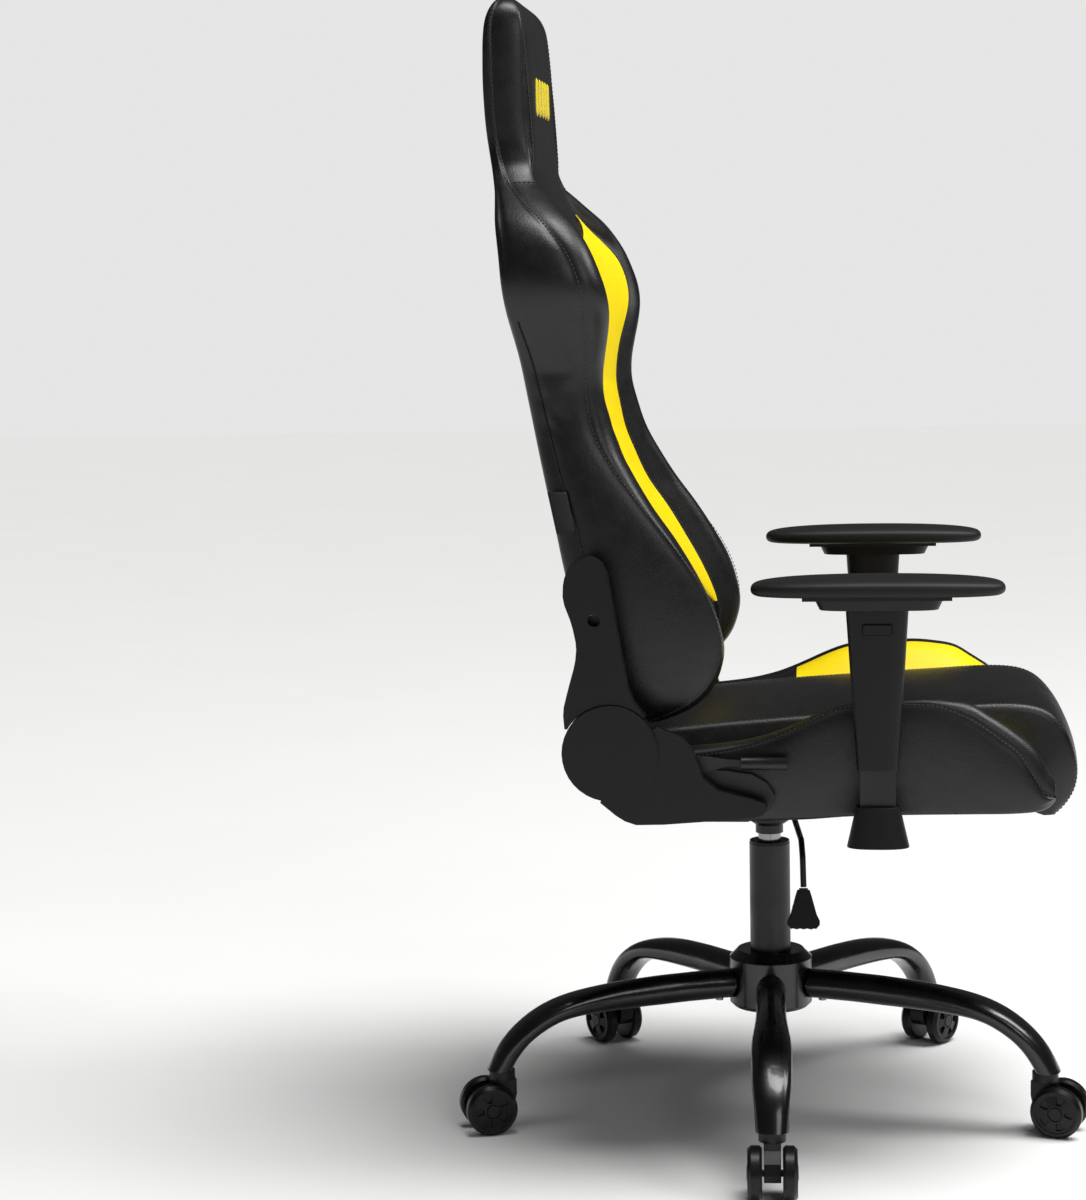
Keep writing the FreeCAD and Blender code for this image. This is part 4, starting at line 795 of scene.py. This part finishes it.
def beside(shape, seam, neighbour, offset, lift=0.0003):
    """A line a little way from a seam towards the next row, just proud of the skin."""
    on = shape[seam]
    away = shape[neighbour] - on
    away /= np.maximum(np.linalg.norm(away, axis=1, keepdims=True), 1e-9)
    along = np.gradient(on, axis=0)
    out = np.cross(along, away)
    out /= np.maximum(np.linalg.norm(out, axis=1, keepdims=True), 1e-9)
    centre = shape.mean(axis=0)
    flip = np.sign(np.sum(out * (on - centre), axis=1, keepdims=True))
    return on + away * offset + out * flip * lift


STITCH = {"Stitch pitch": 0.0052, "Stitch length": 0.0020, "Thread radius": 0.0006}
stitch_offset = 0.0022
back_rows = []
for mirrored in (False, True):
    back_rows.append(beside(back_shape, back_row(SIDE_SEAM, mirrored),
                            back_row(SIDE_SEAM - 1, mirrored), stitch_offset))
    row = beside(back_shape, back_row(YELLOW_SEAM, mirrored), back_row(YELLOW_SEAM + 1, mirrored),
                 stitch_offset)
    back_rows.append(row)
    spots = [(first_ring + neck_ring) * ring_count + (s if not mirrored else ring_count - s)
             for s in range(YELLOW_SEAM + 1, SIDE_SEAM)]
    above = [s + ring_count for s in spots]
    back_rows.append(beside(back_shape, spots, above, stitch_offset))
back_stitches = grown("backrest_stitches", back_rows, stitch_tree, STITCH)
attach(back_stitches, "back")
seat_rows = []
for mirrored in (False, True):
    seat_rows.append(beside(seat_shape, ring_row(TOP, seat_count, seat_steps + 1, mirrored),
                            ring_row(TOP - 1, seat_count, seat_steps + 1, mirrored), stitch_offset))
for shape in bolster_shapes:
    seam = INNER + SLOPE + ROLL
    seat_rows.append(beside(shape, ring_row(seam, bolster_count, len(stations)),
                            ring_row(seam - 1, bolster_count, len(stations)), stitch_offset))
seat_stitches = grown("seat_stitches", seat_rows, stitch_tree, STITCH)
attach(seat_stitches, "seat")

# ------------------------------------------------------------------ zip and tab
# A nylon coil zip closes the cover down each rear edge, below the shoulder. A plain woven
# tab is sewn into the right-hand one; it carries no writing.

coil, tree = new_material("nylon_zip_coil")
# Drawn nylon wire: smooth and slightly shiny, so that the coil's turns catch the light.
shade = add_node(tree, "ShaderNodeTexNoise", {
    "Vector": add_node(tree, "ShaderNodeTexCoord").outputs["Object"], "Scale": 300.0})
gloss = add_node(tree, "ShaderNodeMapRange", {
    "Value": shade.outputs["Fac"], "To Min": 0.28, "To Max": 0.45})
surface = add_node(tree, "ShaderNodeBsdfPrincipled", {
    "Base Color": linear("#0B0B0C"), "Roughness": gloss.outputs["Result"]})
add_node(tree, "ShaderNodeOutputMaterial", {"Surface": surface.outputs["BSDF"]})
zip_low, zip_high = 640, 986
zip_rings = [r for r, z in enumerate(heights) if zip_low <= z <= zip_high]
zip_rows = []
for mirrored in (False, True):
    row = back_row(ZIP_LINE, mirrored)
    near = back_row(ZIP_LINE + 1, mirrored)
    zip_rows.append(beside(back_shape, [row[r] for r in zip_rings], [near[r] for r in zip_rings],
                           0.0005, 0.0006))
zips = grown("backrest_zips", zip_rows, stitch_tree,
             {"Stitch pitch": 0.0021, "Stitch length": 0.0011, "Thread radius": 0.0013})
zips.data.materials.clear()
zips.data.materials.append(coil)
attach(zips, "back")

woven, tree = new_material("woven_polyester_tape")
# Plain weave of matt thread, drawn coarser than the real 0.3 mm so that it shows. Its colour is
# painted shade: darker in the low gaps between threads, lighter on the raised crossings.
place = add_node(tree, "ShaderNodeTexCoord").outputs["Object"]
warp = add_node(tree, "ShaderNodeTexWave", {"Vector": place, "Scale": 420.0},
                bands_direction="Z")
weft = add_node(tree, "ShaderNodeTexWave", {"Vector": place, "Scale": 420.0},
                bands_direction="Y")
weave = add_node(tree, "ShaderNodeMath", {0: warp.outputs["Fac"], 1: weft.outputs["Fac"]},
                 operation="MULTIPLY")
bump = add_node(tree, "ShaderNodeBump", {
    "Height": weave.outputs["Value"], "Strength": 0.6, "Distance": 0.0002})
# Painted shade from the weave's height: dark gaps, light crossings.
tone = add_node(tree, "ShaderNodeMix", {
    "Factor": weave.outputs["Value"], "A": linear("#0E0E10"), "B": linear("#1D1D20")},
    data_type="RGBA")
surface = add_node(tree, "ShaderNodeBsdfPrincipled", {
    "Base Color": tone.outputs["Result"], "Roughness": 0.75, "Normal": bump.outputs["Normal"]})
add_node(tree, "ShaderNodeOutputMaterial", {"Surface": surface.outputs["BSDF"]})
tab_points, tab_faces = [], []
tab_rows, tab_columns = 10, 6
tab_low, tab_height, tab_length, tab_thickness = 744, 48, 22, 0.0011
tab_root, tab_lean, tab_bow, tab_clearance = 231, 0.22, 1.4, 2.2
for layer in (0.0, tab_thickness):
    for i in range(tab_rows + 1):
        z = tab_low + tab_height * i / tab_rows
        root_y = tab_root + (z - tab_low) * tab_lean
        for j in range(tab_columns + 1):
            y = root_y - tab_length * j / tab_columns
            bow = tab_bow * math.sin(math.pi * j / tab_columns)
            x = -(outer_width(z) + tab_clearance + bow) / 1000 - layer
            tab_points.append((x, y / 1000, z / 1000))
stride = tab_columns + 1
sheet_size = (tab_rows + 1) * stride
for layer in (0, sheet_size):
    for i in range(tab_rows):
        for j in range(tab_columns):
            a = layer + i * stride + j
            tab_faces.append((a, a + 1, a + stride + 1, a + stride))
rim = ([j for j in range(tab_columns)] + [i * stride + tab_columns for i in range(tab_rows)]
       + [tab_rows * stride + j for j in range(tab_columns, 0, -1)]
       + [i * stride for i in range(tab_rows, 0, -1)])
for a, b in zip(rim, rim[1:] + rim[:1]):
    tab_faces.append((a, b, b + sheet_size, a + sheet_size))
tab = new_piece("cover_tab", tab_points, tab_faces, [woven])
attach(tab, "back")

# ------------------------------------------------------------------ head embroidery
# A plain mark in yellow satin stitch on the head's front panel: five slanted bars.

satin, tree = new_material("rayon_satin_stitch_yellow")
# Close parallel threads of rayon: bright, with a silky sheen across the bars. The colour carries
# painted shade and painted highlight, deep yellow in the grooves between threads and light yellow
# on their crowns.
threads = add_node(tree, "ShaderNodeTexWave", {
    "Vector": add_node(tree, "ShaderNodeTexCoord").outputs["Object"], "Scale": 500.0,
    "Distortion": 0.6}, bands_direction="Z")
bump = add_node(tree, "ShaderNodeBump", {
    "Height": threads.outputs["Fac"], "Strength": 0.7, "Distance": 0.0003})
# Painted shade and painted highlight from the threads' height.
tone = add_node(tree, "ShaderNodeMix", {
    "Factor": threads.outputs["Fac"], "A": linear("#D9BE00"), "B": linear("#FFE61E")},
    data_type="RGBA")
surface = add_node(tree, "ShaderNodeBsdfPrincipled", {
    "Base Color": tone.outputs["Result"], "Roughness": 0.38, "Normal": bump.outputs["Normal"]})
add_node(tree, "ShaderNodeOutputMaterial", {"Surface": surface.outputs["BSDF"]})
skin = BVHTree.FromObject(back_pad, bpy.context.evaluated_depsgraph_get())
mark_points, mark_faces = [], []
bar_rows, bar_columns = 12, 6
bar_count, bar_pitch, bar_half_width, bar_slant = 5, 30, 7.5, 14
bar_low, bar_height, bar_rise, bar_root = 1224, 46, 0.0012, -0.0008
for bar in range(bar_count):
    middle_x = bar_pitch * (bar - (bar_count - 1) / 2)
    for i in range(bar_rows + 1):
        up = i / bar_rows
        z = bar_low + bar_height * up
        taper = 1 - 0.5 * abs(2 * up - 1) ** 4
        for j in range(bar_columns + 1):
            side = 2 * j / bar_columns - 1
            x = middle_x + bar_slant * (up - 0.5) + bar_half_width * taper * side
            hit = skin.ray_cast(Vector((x / 1000, -0.5, z / 1000)), Vector((0, 1, 0)))[0]
            edge = max(abs(side), abs(2 * up - 1))
            rise = bar_rise if edge < 0.99 else bar_root
            mark_points.append((x / 1000, hit.y - rise, z / 1000))
    first = bar * (bar_rows + 1) * (bar_columns + 1)
    for i in range(bar_rows):
        for j in range(bar_columns):
            a = first + i * (bar_columns + 1) + j
            mark_faces.append((a, a + 1, a + bar_columns + 2, a + bar_columns + 1))
mark = new_piece("head_mark", mark_points, mark_faces, [satin])
thicken = mark.modifiers.new("thread_height", "SOLIDIFY")
thicken.thickness = 0.0014
thicken.offset = 0
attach(mark, "back")

# ------------------------------------------------------------------ arm pads
# Moulded polyurethane on the arm plates: flat below, rounded at both ends, with a low
# crown and a leather-like moulded texture on top.

pad_skin = moulded_plastic("polyurethane_moulded_textured", "#121213", 0.52, 1.3, 0.22, 0.0)
for side, sign in SIDES:
    low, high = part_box("arm_pad_" + side)
    middle = (low + high) / 2
    half_x, half_y, tall = (high.x - low.x) / 2, (high.y - low.y) / 2, high.z - low.z
    levels = [(0.0, 0.84, 0.94), (0.03, 0.90, 0.96), (0.09, 0.955, 0.98), (0.18, 0.985, 0.993),
              (0.3, 1.0, 1.0), (0.45, 0.998, 0.999), (0.58, 0.985, 0.992), (0.68, 0.955, 0.975),
              (0.76, 0.905, 0.945), (0.83, 0.82, 0.885), (0.885, 0.71, 0.80), (0.93, 0.56, 0.67),
              (0.965, 0.38, 0.48), (0.99, 0.19, 0.26)]
    loops = []
    for share, wide, long in levels:
        loop = []
        for i in range(72):
            angle = 2 * math.pi * i / 72
            c, s = math.cos(angle), math.sin(angle)
            x = math.copysign(abs(c) ** 0.66, c) * half_x * wide
            y = math.copysign(abs(s) ** 0.66, s) * half_y * long
            bow = -0.14 * tall * (y / half_y) ** 2 * share
            loop.append((middle.x + x, middle.y + y, low.z + share * tall + bow))
        loops.append(loop)
    points, faces = ringed_shell(loops, ((middle.x, middle.y, low.z),
                                         (middle.x, middle.y, high.z)))
    arm_pad = new_piece("arm_pad_skin_" + side, points, faces, [pad_skin])
    smooth_skin(arm_pad)
    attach(arm_pad, "arm_" + side)
    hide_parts("arm_pad_" + side)
